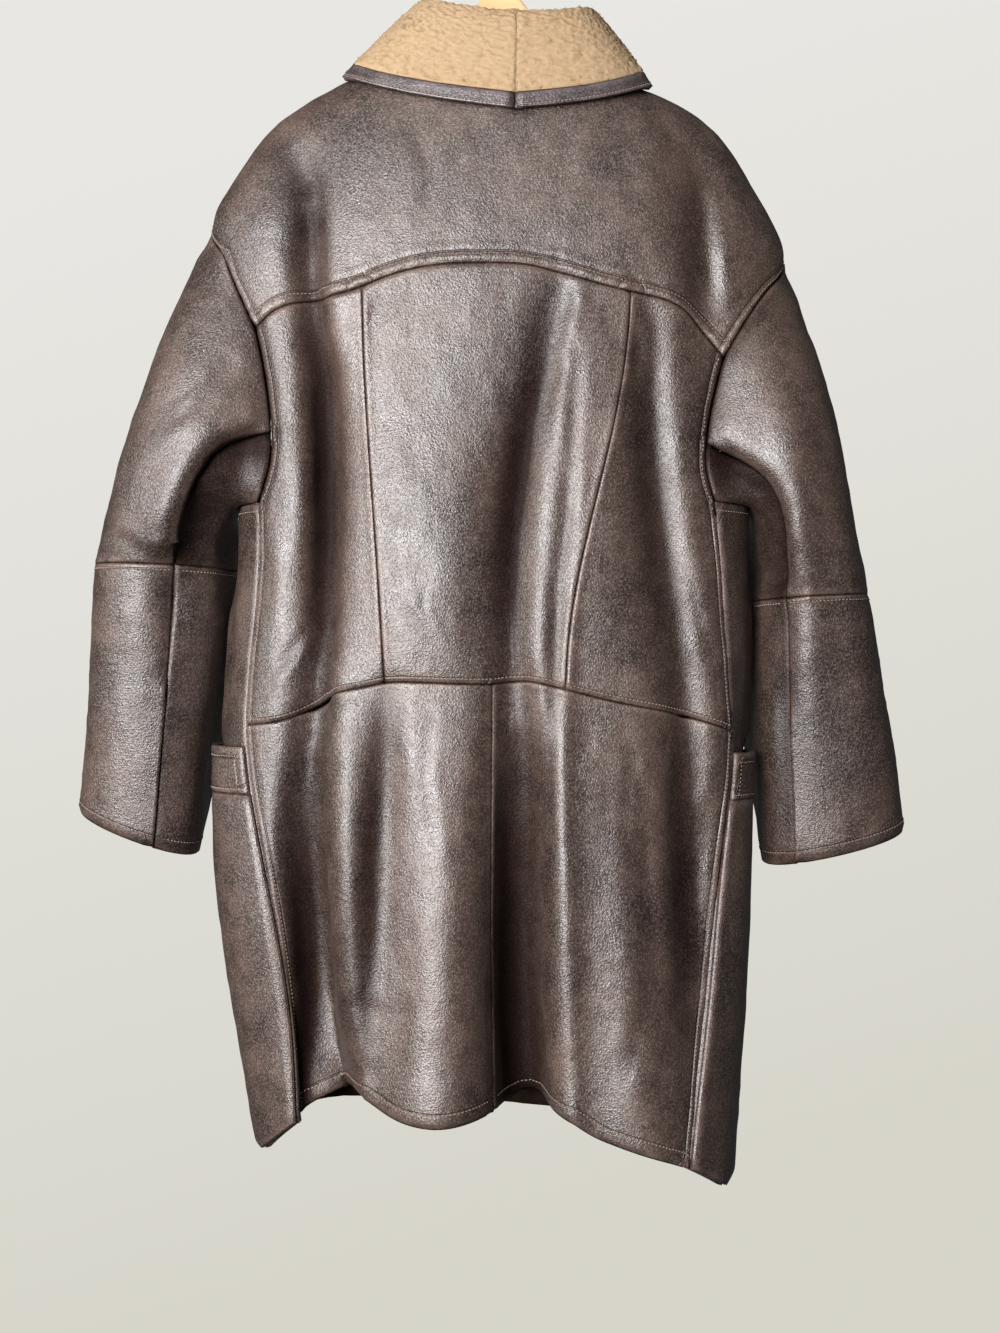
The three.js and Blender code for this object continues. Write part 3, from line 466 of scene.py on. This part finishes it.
creases = {
    "back_yoke": [
        crease(0.8, 3, 0.5, (14, -275), (51, -278), (89, -273), (136, -277), (183, -273)),
        crease(2.2, 12, 0.2, (-192, -231), (-177, -278), (-183, -344)),
        crease(1.4, 7, 0.8, (187, -260), (196, -316), (200, -372)),
        crease(0.9, 9, 0.3, (-90, -215), (-70, -262), (-84, -318)),
    ],
    "back_middle": [
        crease(1.3, 4, 0.8, (-112, -368), (-120, -386), (-128, -404)),
        crease(1.4, 4, 0.8, (-100, -370), (-111, -389), (-125, -414)),
        crease(0.9, 3, 0.6, (-88, -372), (-99, -390), (-109, -408)),
        crease(1.0, 5, 0.8, (-107, -655), (-91, -674), (-64, -701)),
        crease(1.0, 5, 0.6, (-97, -569), (-104, -588), (-108, -606)),
        crease(0.8, 4, 0.6, (-72, -649), (-78, -667), (-67, -689)),
        crease(0.8, 4, 0.5, (-99, -621), (-100, -644), (-89, -663)),
        crease(1.5, 7, 0.9, (54, -355), (59, -381), (50, -414)),
        crease(1.3, 8, 0.7, (51, -410), (42, -475), (45, -541)),
    ],
    "back_side_left": [
        crease(1.8, 5, 1.0, (-186, -688), (-202, -714), (-223, -741)),
        crease(1.2, 4, 0.8, (-193, -700), (-211, -719), (-228, -733)),
        crease(1.2, 7, 0.4, (-232, -600), (-226, -650), (-230, -690)),
    ],
    "back_side_right": [
        crease(1.2, 6, 0.5, (118, -392), (126, -420), (124, -470)),
        crease(1.0, 6, 0.5, (176, -640), (186, -690), (204, -730)),
    ],
    "back_skirt_left": [
        crease(1.5, 10, 0.5, (-192, -822), (-204, -869), (-202, -944)),
        crease(1.2, 8, 0.4, (-145, -1038), (-117, -1047), (-80, -1038)),
        crease(1.0, 7, 0.5, (-70, -770), (-76, -830), (-66, -900)),
    ],
    "back_skirt_right": [
        crease(1.2, 8, 0.6, (120, -800), (112, -860), (118, -930)),
        crease(1.0, 7, 0.4, (60, -980), (90, -1010), (130, -1000)),
    ],
    "front_left": [
        crease(1.6, 8, 0.6, (-200, -590), (-170, -640), (-120, -660)),
        crease(1.4, 7, 0.6, (-60, -300), (-90, -360), (-88, -430)),
        crease(1.3, 9, 0.4, (-70, -820), (-60, -900), (-66, -1010)),
    ],
    "front_right": [
        crease(1.6, 8, 0.6, (190, -600), (150, -650), (100, -664)),
        crease(1.4, 7, 0.6, (70, -320), (98, -380), (92, -440)),
        crease(1.2, 9, 0.4, (90, -850), (96, -930), (88, -1020)),
    ],
    "sleeve_upper_top_left": [
        crease(1.6, 9, 0.5, (-262, -440), (-290, -480), (-330, -500)),
        crease(1.4, 7, 0.6, (-385, -590), (-350, -612), (-318, -622)),
    ],
    "sleeve_upper_top_right": [
        crease(1.4, 5, 1.0, (225, -588), (236, -614), (253, -635)),
        crease(1.2, 7, 0.5, (215, -560), (240, -590), (262, -600)),
    ],
}


# The long falling folds of the back run over its seams
longFolds = [
    crease(5, 15, 0.3, (-211, -222), (-193, -260), (-185, -297), (-187, -372)),
    crease(3.5, 16, 0.3, (167, -222), (190, -260), (186, -297), (188, -335), (190, -400)),
    crease(
        11, 13, 0.5,
        (-188, -300), (-179, -410), (-171, -447), (-168, -522), (-168, -597), (-172, -700), (-180, -790),
    ),
    crease(
        13, 18, 0.4,
        (-180, -760), (-188, -850), (-188, -906), (-184, -972), (-181, -1040), (-186, -1120), (-190, -1420),
    ),
    crease(7, 15, 0.5, (48, -365), (34, -447), (23, -494), (14, -560), (8, -606), (7, -663), (7, -760)),
    crease(
        13, 20, 0.4,
        (10, -740), (16, -831), (15, -906), (14, -972), (16, -1038), (20, -1120), (22, -1420),
    ),
    crease(2.5, 8, 0.6, (66, -430), (63, -494), (56, -597), (49, -644), (45, -756), (42, -822), (43, -1000)),
    crease(
        5, 16, 0.3,
        (126, -372), (138, -410), (137, -475), (141, -531), (149, -597), (160, -672), (175, -775),
    ),
    crease(5, 17, 0.3, (170, -740), (177, -850), (178, -925), (182, -991), (178, -1047), (186, -1120)),
    crease(5, 14, 0.4, (-108, -745), (-115, -831), (-120, -897), (-122, -972), (-128, -1038), (-132, -1100)),
    crease(2.5, 12, 0.4, (124, -810), (128, -860), (131, -935), (139, -1010), (122, -1085)),
]
for name in sheets:
    if name.startswith("back_"):
        creases[name] = creases.get(name, []) + longFolds


# A trough as deep as this gets full painted shade, and the painted shade spreads less on the ridge's side
paintedShadeDepth = 7
paintedShadeSpread = {"ridge": 0.6, "other": 1.7}


# How far creases lift the sheet, and how much painted shade their troughs get
def creaseLift(points, rows):
    lift = np.zeros(len(points))
    paintedTroughShade = np.zeros(len(points))
    flat = np.column_stack([points[:, 0], points[:, 2]])
    for row in rows:
        path, width = row["path"], row["width"]
        lengths = np.linalg.norm(np.diff(path, axis=0), axis=1)
        starts = np.concatenate([[0], np.cumsum(lengths)])
        best = np.full(len(points), 1e9)
        side = np.zeros(len(points))
        share = np.zeros(len(points))
        for k, length in enumerate(lengths):
            along = (path[k + 1] - path[k]) / length
            t = np.clip((flat - path[k]) @ along, 0, length)
            offset = flat - path[k] - t[:, None] * along
            distance = np.linalg.norm(offset, axis=1)
            closer = distance < best
            cross = along[0] * offset[:, 1] - along[1] * offset[:, 0]
            best[closer], side[closer] = distance[closer], cross[closer]
            share[closer] = (starts[k] + t[closer]) / starts[-1]
        fade = np.sin(np.pi * np.clip(0.08 + 0.84 * share, 0, 1)) ** 0.8
        across = best * np.sign(side)
        lift += row["depth"] * fade * (row["ridge"] * bump(across - 1.5 * width, width) - bump(across, width))
        spread = np.where(across > 0, paintedShadeSpread["ridge"], paintedShadeSpread["other"]) * width
        paintedTroughShade = np.maximum(paintedTroughShade, min(row["depth"] / paintedShadeDepth, 1) * fade * bump(across, spread))
    return lift, paintedTroughShade


# Soft waves of the hide: how long and how high, with a stretch along Z
waves = table(("long", "high", "tall"), [(64, 1.5, 1.5), (27, 0.7, 1.3), (11, 0.28, 1.1)])
# Fine ripples across the under sleeves and the sleeves' lower backs
ripples = {
    "sleeve_lower_under_": {"high": 1.6, "long": 24, "tall": 5},
    "sleeve_upper_under_": {"high": 0.8, "long": 24, "tall": 6},
    "sleeve_lower_top_": {"high": 0.45, "long": 26, "tall": 8},
    "sleeve_upper_top_": {"high": 0.35, "long": 30, "tall": 12},
    "pocket_": {"high": 0.3, "long": 18, "tall": 9},
    "front_": {"high": 0.4, "long": 30, "tall": 16},
    "back_": {"high": 0.3, "long": 16, "tall": 20},
}


# The fronts swell out above the pockets, and the right sleeve's under side swells to meet them
frontSwell = {"high": 9, "foot": (-825, -785), "top": (-680, -620), "back": (-25, 10), "side": (190, 225)}
bodyMiddle = -18
sleeveSwell = {"name": "sleeve_lower_under_right", "high": 4, "at": -800, "tall": 45}


def hideLift(name, points):
    lift = np.zeros(len(points))
    if name.startswith("collar"):
        return lift
    for seed, wave in enumerate(waves):
        lift += wave["high"] * noiseAt(points / (wave["long"] * np.array([1, 1, wave["tall"]])), 20 + seed)
    if name == sleeveSwell["name"]:
        lift += sleeveSwell["high"] * bump(points[:, 2] - sleeveSwell["at"], sleeveSwell["tall"])
    ripple = next(ripples[key] for key in ripples if name.startswith(key))
    scale = np.array([ripple["long"], ripple["long"], ripple["tall"]])
    lift += ripple["high"] * (noiseAt(points / scale, 31) + 0.5 * noiseAt(points / (0.5 * scale), 32))
    if name.startswith("front_"):
        x, y, z = points.T
        beside = smooth(y, *frontSwell["back"]) * smooth(np.abs(x - bodyMiddle), *frontSwell["side"])
        tall = smooth(z, *frontSwell["foot"]) * (1 - smooth(z, *frontSwell["top"]))
        lift += frontSwell["high"] * beside * tall
    return lift


for name, sheet in sheets.items():
    lift, seam, stitch, hollow = seamShape(name, sheet)
    lift += hideLift(name, sheet["points"]) * smooth(seam, 0, 18)
    folded, paintedTroughShade = creaseLift(sheet["points"], creases.get(name, []))
    lift += folded
    # Painted shade from sunk seams and fold troughs is kept per point for the leather's colour
    sheet["seam"], sheet["stitch"], sheet["hollow"] = seam, stitch, np.clip(hollow + paintedTroughShade, 0, 1)
    sheet["points"] = sheet["points"] + lift[:, None] * sheet["normals"]
    setPoints(sheet["mesh"], sheet["points"])
print("sheets shaped")


# Node graphs are written as rows: each node's type, settings and inputs
def addNode(tree, kind, settings=None, inputs=None):
    node = tree.nodes.new(kind)
    for key, value in (settings or {}).items():
        setattr(node, key, value)
    for key, value in (inputs or {}).items():
        if isinstance(value, bpy.types.NodeSocket):
            tree.links.new(value, node.inputs[key])
        else:
            node.inputs[key].default_value = value
    return node


def newMaterial(name):
    material = bpy.data.materials.new(name)
    material.use_nodes = True
    tree = material.node_tree
    shader = tree.nodes["Principled BSDF"]
    place = addNode(tree, "ShaderNodeTexCoord").outputs["Object"]
    return material, tree, shader, place


def noiseNode(tree, place, scale, detail=4, roughness=0.55, stretch=None):
    if stretch:
        place = addNode(tree, "ShaderNodeMapping", inputs={"Vector": place, "Scale": stretch}).outputs[0]
    inputs = {"Vector": place, "Scale": scale, "Detail": detail, "Roughness": roughness}
    return addNode(tree, "ShaderNodeTexNoise", inputs=inputs).outputs[0]


def mathNode(tree, operation, *values):
    return addNode(tree, "ShaderNodeMath", {"operation": operation}, dict(enumerate(values))).outputs[0]


# Weighted sum of values
def blendNode(tree, *parts):
    total = None
    for value, weight in parts:
        part = mathNode(tree, "MULTIPLY", value, weight)
        total = part if total is None else mathNode(tree, "ADD", total, part)
    return total


def rangeNode(tree, value, low, high, toLow=0.0, toHigh=1.0):
    inputs = {"Value": value, "From Min": low, "From Max": high, "To Min": toLow, "To Max": toHigh}
    return addNode(tree, "ShaderNodeMapRange", inputs=inputs).outputs[0]


def mixNode(tree, share, first, second, blend="MIX"):
    node = addNode(tree, "ShaderNodeMix", {"data_type": "RGBA", "blend_type": blend})
    for socket, value in ((node.inputs[0], share), (node.inputs[6], first), (node.inputs[7], second)):
        if isinstance(value, bpy.types.NodeSocket):
            tree.links.new(value, socket)
        else:
            socket.default_value = value
    return node.outputs[2]


def attributeNode(tree, name):
    return addNode(tree, "ShaderNodeAttribute", {"attribute_name": name}).outputs["Fac"]


def color(red, green, blue):
    return (red, green, blue, 1)


# Leather: grain and pores as bumps, with seams pressed in and colour worn lighter beside them; fold troughs get
# painted shade
def leatherMaterial(name, dark, light, worn, rough):
    material, tree, shader, place = newMaterial(name)
    broad = noiseNode(tree, place, 8, 3)
    patch = noiseNode(tree, place, 34, 5, 0.62)
    streak = noiseNode(tree, place, 70, 4, 0.6, stretch=(1.6, 1.6, 0.45))
    speck = noiseNode(tree, place, 500, 3, 0.7)
    grain = addNode(tree, "ShaderNodeTexVoronoi", {"feature": "SMOOTH_F1"}, {
        "Vector": place, "Scale": 620, "Smoothness": 0.5, "Randomness": 1,
    }).outputs["Distance"]
    seam = attributeNode(tree, "seam")
    stitch = attributeNode(tree, "stitch")
    hollow = attributeNode(tree, "hollow")
    base = mixNode(tree, rangeNode(tree, blendNode(tree, (broad, 0.5), (patch, 0.5)), 0.4, 0.6), dark, light)
    specked = mixNode(tree, rangeNode(tree, speck, 0.47, 0.7, 0, 0.6), base, worn)
    rub = mathNode(tree, "MULTIPLY", rangeNode(tree, seam, 7, 1.5), rangeNode(tree, patch, 0.4, 0.6, 0.15, 0.6))
    rubbed = mixNode(tree, rub, specked, worn)
    groove = rangeNode(tree, mathNode(tree, "ABSOLUTE", stitch), 0.3, 1.2, 1, 0)
    pressed = mathNode(tree, "MAXIMUM", groove, rangeNode(tree, seam, 0.1, 1.0, 1, 0))
    # Fold troughs are painted darker, painted shade; deep joins it with the pressed seams' darker joints toward
    # one near-black colour
    paintedShadeShare = mathNode(tree, "MULTIPLY", hollow, 0.92)
    deep = mathNode(tree, "MAXIMUM", mathNode(tree, "MULTIPLY", pressed, 0.3), paintedShadeShare)
    tree.links.new(mixNode(tree, deep, rubbed, color(0.006, 0.003, 0.003)), shader.inputs["Base Color"])
    gloss = rangeNode(tree, blendNode(tree, (patch, 0.5), (speck, 0.5)), 0.35, 0.65, rough - 0.1, rough + 0.1)
    tree.links.new(gloss, shader.inputs["Roughness"])
    # Highlights are turned down in the painted fold shade as well
    dull = rangeNode(tree, hollow, 0, 0.8, 1.0, 0.04)
    shine = mathNode(tree, "MULTIPLY", dull, rangeNode(tree, speck, 0.35, 0.65, 0.5, 1.4))
    tree.links.new(shine, shader.inputs["Specular IOR Level"])
    height = blendNode(tree, (grain, 0.7), (speck, 0.6), (streak, 0.45), (pressed, -1.6))
    bumped = addNode(tree, "ShaderNodeBump", inputs={"Strength": 0.8, "Distance": 0.0006, "Height": height})
    tree.links.new(bumped.outputs[0], shader.inputs["Normal"])
    return material


def woolMaterial(name, deep, mid, tip, scale, distance):
    material, tree, shader, place = newMaterial(name)
    clump = noiseNode(tree, place, scale, 4, 0.65)
    fine = noiseNode(tree, place, scale * 4.5, 3, 0.7)
    raised = attributeNode(tree, "raised")
    # The wool is darker where the pile lies low, painted shade between clumps and at the curls' roots, with
    # clump noise as random tone
    depth = blendNode(tree, (raised, 0.6), (clump, 0.5))
    low = mixNode(tree, rangeNode(tree, depth, 0.15, 0.55), deep, mid)
    shown = mixNode(tree, rangeNode(tree, blendNode(tree, (depth, 1), (fine, 0.4)), 0.65, 1.15), low, tip)
    tree.links.new(shown, shader.inputs["Base Color"])
    shader.inputs["Roughness"].default_value = 0.95
    shader.inputs["Specular IOR Level"].default_value = 0.1
    height = blendNode(tree, (clump, 0.6), (fine, 0.5))
    bumped = addNode(tree, "ShaderNodeBump", inputs={"Strength": 0.9, "Distance": distance, "Height": height})
    tree.links.new(bumped.outputs[0], shader.inputs["Normal"])
    return material


def plainMaterial(name, base, rough, metal=0.0):
    material, _, shader, _ = newMaterial(name)
    shader.inputs["Base Color"].default_value = base
    shader.inputs["Roughness"].default_value = rough
    shader.inputs["Metallic"].default_value = metal
    return material


def woodMaterial():
    material, tree, shader, place = newMaterial("wood")
    rings = noiseNode(tree, place, 26, 5, 0.6, stretch=(0.35, 3.0, 3.0))
    shown = mixNode(tree, rangeNode(tree, rings, 0.35, 0.7), color(0.52, 0.25, 0.11), color(0.72, 0.42, 0.22))
    tree.links.new(shown, shader.inputs["Base Color"])
    shader.inputs["Roughness"].default_value = 0.4
    return material


leather = leatherMaterial(
    "leather",
    dark=color(0.017, 0.010, 0.008), light=color(0.055, 0.034, 0.026), worn=color(0.15, 0.10, 0.08),
    rough=0.46,
)
edging = leatherMaterial(
    "edging",
    dark=color(0.02, 0.013, 0.014), light=color(0.045, 0.03, 0.032), worn=color(0.13, 0.1, 0.098),
    rough=0.42,
)
beigeWool = woolMaterial(
    "beige_wool",
    deep=color(0.14, 0.075, 0.035), mid=color(0.29, 0.19, 0.105), tip=color(0.40, 0.295, 0.185),
    scale=330, distance=0.0014,
)
brownWool = woolMaterial(
    "brown_wool",
    deep=color(0.006, 0.004, 0.003), mid=color(0.028, 0.016, 0.011), tip=color(0.07, 0.04, 0.028),
    scale=240, distance=0.0016,
)
thread = plainMaterial("thread", color(0.17, 0.122, 0.097), 0.6)
steel = plainMaterial("steel", color(0.55, 0.55, 0.57), 0.28, 1.0)
buttonBrown = plainMaterial("button_brown", color(0.024, 0.014, 0.01), 0.32)
wood = woodMaterial()
print("materials made")


def shellOf(name, sheet, outer, inner, thickness):
    mesh = sheet["mesh"]
    setAttribute(mesh, "seam", sheet["seam"])
    setAttribute(mesh, "stitch", sheet["stitch"])
    setAttribute(mesh, "hollow", sheet["hollow"])
    mesh.materials.clear()
    mesh.materials.append(outer)
    mesh.materials.append(inner)
    for polygon in mesh.polygons:
        polygon.material_index = 0
        polygon.use_smooth = True
    count = len(mesh.vertices)
    open_ = objectOf(name + "_open", mesh)
    solid = open_.modifiers.new("wall", "SOLIDIFY")
    solid.thickness = thickness * mm
    solid.offset = -1
    solid.material_offset = 1
    solid.material_offset_rim = 0
    closed = bpy.data.meshes.new_from_object(open_.evaluated_get(bpy.context.evaluated_depsgraph_get()))
    bpy.data.objects.remove(open_)
    points, normals = pointsOf(closed), normalsOf(closed)
    pile = 0.9 * noiseAt(points[count:] / 5, 41) + 0.7 * noiseAt(points[count:] / 11, 42)
    pile *= smooth(np.append(sheet["seam"], sheet["seam"])[: len(points) - count], 0, 6)
    points[count:] += (pile[:, None]) * normals[count:]
    setPoints(closed, points)
    # raised is how high the pile stands; the wool material paints lower pile darker as painted shade
    raised = np.ones(len(points)) * 0.5
    raised[count:] = 0.5 + 0.4 * pile
    setAttribute(closed, "raised", raised)
    shell = objectOf(name + "_hide", closed)
    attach(shell, "root")
    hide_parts(name)
    return shell


for name, sheet in sheets.items():
    if name.startswith("collar_") and "edging" not in name:
        continue
    outer = edging if "edging" in name else leather
    shellOf(name, sheet, outer, brownWool, sheet["wall"] - 0.3)
print("shells made")


# Collar: wool clumps raised on the sheet, with small curls standing on them
wool = {
    "clump": 3.6, "high": 1.5, "fine": 2.0, "fineHigh": 0.7,
    "curls": 2600, "long": 2.4, "thick": 0.45, "seamReach": 1.2,
}


def clumpHeight(points, size, seed):
    reach_ = 1.5 * size
    low = points.min(0) - reach_
    high = points.max(0) + reach_
    random = np.random.default_rng(seed)
    count = int(np.prod((high - low) / size))
    centres = low + random.random((count, 3)) * (high - low)
    tree = treeOf(centres)
    away = np.array([tree.find(point)[2] for point in points]) / size
    return np.clip(1 - away**2, 0, 1)


def curlsOn(name, points, normals, seed, chosen, long, thick):
    random = np.random.default_rng(seed)
    vertices, faces = [], []
    steps, sides = 3, 3
    for i in chosen:
        up = normals[i]
        across = unit(np.cross(up, random.normal(size=3)))
        side = np.cross(up, across)
        turn, size = random.uniform(1.8, 3.6), long * random.uniform(0.6, 1.15)
        foot = points[i] + random.normal(scale=0.5, size=3) - 0.7 * up
        start = len(vertices)
        for k in range(steps + 1):
            t = k / steps
            angle = turn * t
            bow = 0.55 * up * math.sin(angle * 0.5) + 0.42 * across * (1 - math.cos(angle))
            bow = size * (bow + 0.25 * side * math.sin(angle))
            radius = thick * (1 - 0.75 * t * t)
            for m in range(sides):
                a = 2 * math.pi * m / sides
                vertices.append(foot + bow + radius * (math.cos(a) * side + math.sin(a) * up))
        for k in range(steps):
            for m in range(sides):
                a, b = start + k * sides + m, start + k * sides + (m + 1) % sides
                faces.append((a, b, b + sides, a + sides))
        faces.append(tuple(start + steps * sides + m for m in range(sides)))
        faces.append(tuple(start + m for m in reversed(range(sides))))
    mesh = meshOf(name, np.array(vertices), faces)
    for polygon in mesh.polygons:
        polygon.use_smooth = True
    setAttribute(mesh, "raised", np.tile(np.repeat(np.linspace(0.8, 1.0, steps + 1), sides), len(chosen)))
    return mesh


for side in sideNames:
    name = "collar_" + side
    sheet = sheets[name]
    mesh = subdivided(sheet["mesh"], 1)
    points, normals = pointsOf(mesh), normalsOf(mesh)
    away, _ = fromLine(points, points[np.append(rimOf(mesh), rimOf(mesh)[0])])
    clumps = clumpHeight(points, wool["clump"], 5)
    fine = noiseAt(points / wool["fine"], 6)
    lift = wool["high"] * (clumps - 0.45) + wool["fineHigh"] * fine
    points += (lift * smooth(away, -3, 4))[:, None] * normals
    setPoints(mesh, points)
    sheet["mesh"], sheet["seam"], sheet["stitch"] = mesh, away + 8, np.full(len(points), 30.0)
    sheet["hollow"] = np.zeros(len(points))
    shell = shellOf(name, sheet, beigeWool, beigeWool, sheet["wall"] - 1)
    # raised follows the clumps, so the wool between them is painted darker as painted shade
    raised = np.zeros(len(shell.data.vertices))
    raised[: len(points)] = np.clip(0.4 + 0.5 * clumps + 0.1 * fine, 0, 1)
    setAttribute(shell.data, "raised", raised)
    chosen = np.random.default_rng(8).choice(len(points), wool["curls"])
    halves = ("collar_left", "collar_right")
    joined = [i for i, other in zip(sheet["rim"], sheet["beside"]) if other in halves]
    besideSeam = np.nonzero(fromLine(points, sheet["points"][joined])[0] < wool["seamReach"])[0]
    chosen = np.concatenate([chosen, besideSeam])
    curlMesh = curlsOn(name + "_curls", points, normalsOf(mesh), 7, chosen, wool["long"], wool["thick"])
    curls = objectOf(name + "_curls", curlMesh)
    curls.data.materials.append(beigeWool)
    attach(curls, "root")
    sheet["curls"] = curls
print("collar wool made")


# Stitches: short bars of thread along each seam's row, set on the shaped sheet
stitching = {"pitch": 3.9, "long": 2.7, "wide": 0.95, "high": 0.6}


def stitchesOn(name, sheet):
    points, rim = sheet["points"], sheet["rim"]
    surface = BVHTree.FromPolygons(points.tolist(), [tuple(p.vertices) for p in sheet["mesh"].polygons])
    centre = points.mean(0)
    normals = normalsOf(sheet["mesh"])
    vertices, faces = [], []
    for row in sheet["rows"]:
        run = row["run"]
        line = points[rim[run]]
        out = normals[rim[run]]
        along = unit(np.gradient(line, axis=0))
        inward = unit(np.cross(out, along))
        probe = surface.find_nearest(line[len(line) // 2] + 6 * inward[len(line) // 2])[0]
        flipped = surface.find_nearest(line[len(line) // 2] - 6 * inward[len(line) // 2])[0]
        first = (probe - Vector(line[len(line) // 2])).length
        second = (flipped - Vector(line[len(line) // 2])).length
        if second > first:
            inward = -inward
        path = []
        for point, way in zip(line, inward):
            near = surface.find_nearest(point + row["row"] * way)
            path.append((*near[0], *near[1]))
        path = np.array(path)
        lengths = np.concatenate([[0], np.cumsum(np.linalg.norm(np.diff(path[:, :3], axis=0), axis=1))])
        stops = np.arange(2.5, lengths[-1] - 2.5, stitching["pitch"])
        for stop in stops:
            place, ahead, back = (
                np.array([np.interp(stop + step, lengths, path[:, k]) for k in range(6)])
                for step in (0, 0.6, -0.6)
            )
            way = unit(ahead[:3] - back[:3])
            up = unit(place[3:])
            side = unit(np.cross(up, way))
            start = len(vertices)
            for end, lift in ((-0.5, -0.25), (-0.25, 0.32), (0.25, 0.32), (0.5, -0.25)):
                for across in (-0.5, 0.5):
                    offset = end * stitching["long"] * way + across * stitching["wide"] * side
                    vertices.append(place[:3] + offset + (lift + 0.1) * stitching["high"] * 2 * up)
            for k in range(3):
                a = start + 2 * k
                faces.append((a, a + 1, a + 3, a + 2))
            faces.append((start, start + 2, start + 4, start + 6))
            faces.append((start + 7, start + 5, start + 3, start + 1))
            faces.append((start + 6, start + 7, start + 1, start))
    return meshOf(name, np.array(vertices), faces) if vertices else None


for name, sheet in sheets.items():
    made = stitchesOn(name + "_stitches", sheet) if sheet["rows"] and "curls" not in sheet else None
    if made:
        sheet["stitches"] = objectOf(name + "_stitches", made)
        made.materials.append(thread)
        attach(sheet["stitches"], "root")
print("stitches made")


# Dark fleece that shows along the open hem and cuffs
fleece = {
    "long": 4.6, "thick": 0.5, "inset": 4.2, "deep": 4, "up": 7, "spread": 1.6, "lean": 0.35, "inward": 0.4,
    "below": -780,
}
for name, sheet in sheets.items():
    if not name.startswith(("back_skirt", "front_", "sleeve_lower")):
        continue
    rim = sheet["rim"]
    low = [i for i, other in enumerate(sheet["beside"]) if other == "open"]
    low = [i for i in low if sheet["points"][rim[i]][2] < fleece["below"]]
    if not low:
        continue
    points, normals = sheet["points"][rim[low]], normalsOf(sheet["mesh"])[rim[low]]
    random = np.random.default_rng(17)
    repeat = 7 if sheet["levels"] == 2 else 4
    outward = np.repeat(normals, repeat, axis=0)
    inset = fleece["inset"] + random.random((len(outward), 1)) * fleece["deep"]
    feet = np.repeat(points, repeat, axis=0) - outward * inset
    feet += random.normal(scale=fleece["spread"], size=feet.shape)
    feet[:, 2] += fleece["up"]
    ways = np.array([0, 0, -1.0]) + random.normal(scale=fleece["lean"], size=feet.shape)
    ways = unit(ways - fleece["inward"] * outward)
    every = np.arange(len(feet))
    tuftMesh = curlsOn(name + "_fleece", feet, ways, 18, every, fleece["long"], fleece["thick"])
    tufts = objectOf(name + "_fleece", tuftMesh)
    tufts.data.materials.append(brownWool)
    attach(tufts, "root")
    sheet["fleece"] = tufts
print("fleece made")

# Hanger and buttons keep their CAD form
plain = {"hanger_bar": wood, "hanger_hook": steel, **{f"button_{i}": buttonBrown for i in range(1, 5)}}
for name, material in plain.items():
    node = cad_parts[name]
    node.data.materials.clear()
    node.data.materials.append(material)
    for polygon in node.data.polygons:
        polygon.material_index = 0
        polygon.use_smooth = name != "hanger_bar"


# A pale wall far behind, broad soft lights and the camera
def backdrop():
    bm = bmesh.new()
    bmesh.ops.create_grid(bm, x_segments=1, y_segments=1, size=30)
    mesh = bpy.data.meshes.new("wall")
    bm.to_mesh(mesh)
    bm.free()
    mesh.transform(Matrix.Translation((0, 6, 0)) @ Matrix.Rotation(math.pi / 2, 4, "X"))
    wall = objectOf("wall", mesh)
    material, tree, shader, place = newMaterial("wall_glow")
    tree.nodes.remove(shader)
    spot = addNode(tree, "ShaderNodeSeparateXYZ", inputs={0: place})
    # The wall glows by itself and is painted darker towards the lower right, a painted fall-off of light
    down = mathNode(tree, "SUBTRACT", mathNode(tree, "MULTIPLY", spot.outputs[0], 0.3), spot.outputs[2])
    share = rangeNode(tree, down, -2, 3.2)
    shown = mixNode(tree, share, color(0.807, 0.799, 0.768), color(0.679, 0.665, 0.595))
    light = addNode(tree, "ShaderNodeEmission", inputs={"Color": shown, "Strength": 1.0})
    tree.links.new(light.outputs[0], tree.nodes["Material Output"].inputs["Surface"])
    mesh.materials.append(material)
    wall.visible_diffuse = False
    wall.visible_glossy = False


def areaLight(name, place, aim, size, power, tint):
    data = bpy.data.lights.new(name, "AREA")
    data.shape = "RECTANGLE"
    data.size, data.size_y = size
    data.energy = power
    data.color = tint
    light = bpy.data.objects.new(name, data)
    light.location = place
    light.rotation_euler = (Vector(aim) - Vector(place)).to_track_quat("-Z", "Y").to_euler()
    bpy.context.scene.collection.objects.link(light)


backdrop()
middle = (0, 0, -0.65)
areaLight("window", (-1.25, -2.75, -0.34), middle, (1.3, 1.6), 225, (1.0, 0.985, 0.985))
areaLight("room", (-2.7, -1.1, 0.1), middle, (1.2, 1.8), 36, (1.0, 0.96, 0.93))
areaLight("ceiling", (0.0, -1.6, 1.7), middle, (2.0, 1.2), 10, (1.0, 0.98, 0.96))
world = bpy.data.worlds.new("room")
world.use_nodes = True
world.node_tree.nodes["Background"].inputs["Color"].default_value = color(0.9, 0.89, 0.86)
world.node_tree.nodes["Background"].inputs["Strength"].default_value = 0.1
bpy.context.scene.world = world
bpy.context.scene.view_settings.view_transform = "Standard"

lens = {"place": (-4.8, -1760, -725), "sensor": 36, "long": 47.83}
camera = bpy.data.objects.new("camera", bpy.data.cameras.new("camera"))
camera.location = Vector(lens["place"]) * mm
camera.rotation_euler = (math.pi / 2, 0, 0)
camera.data.sensor_fit = "VERTICAL"
camera.data.sensor_height = lens["sensor"]
camera.data.lens = lens["long"]
camera.data.clip_end = 100
bpy.context.scene.collection.objects.link(camera)
bpy.context.scene.camera = camera
print("stage set")
meshes = [thing.data for thing in bpy.context.scene.objects if thing.type == "MESH"]
print("triangles", sum(len(face.vertices) - 2 for mesh in meshes for face in mesh.polygons))
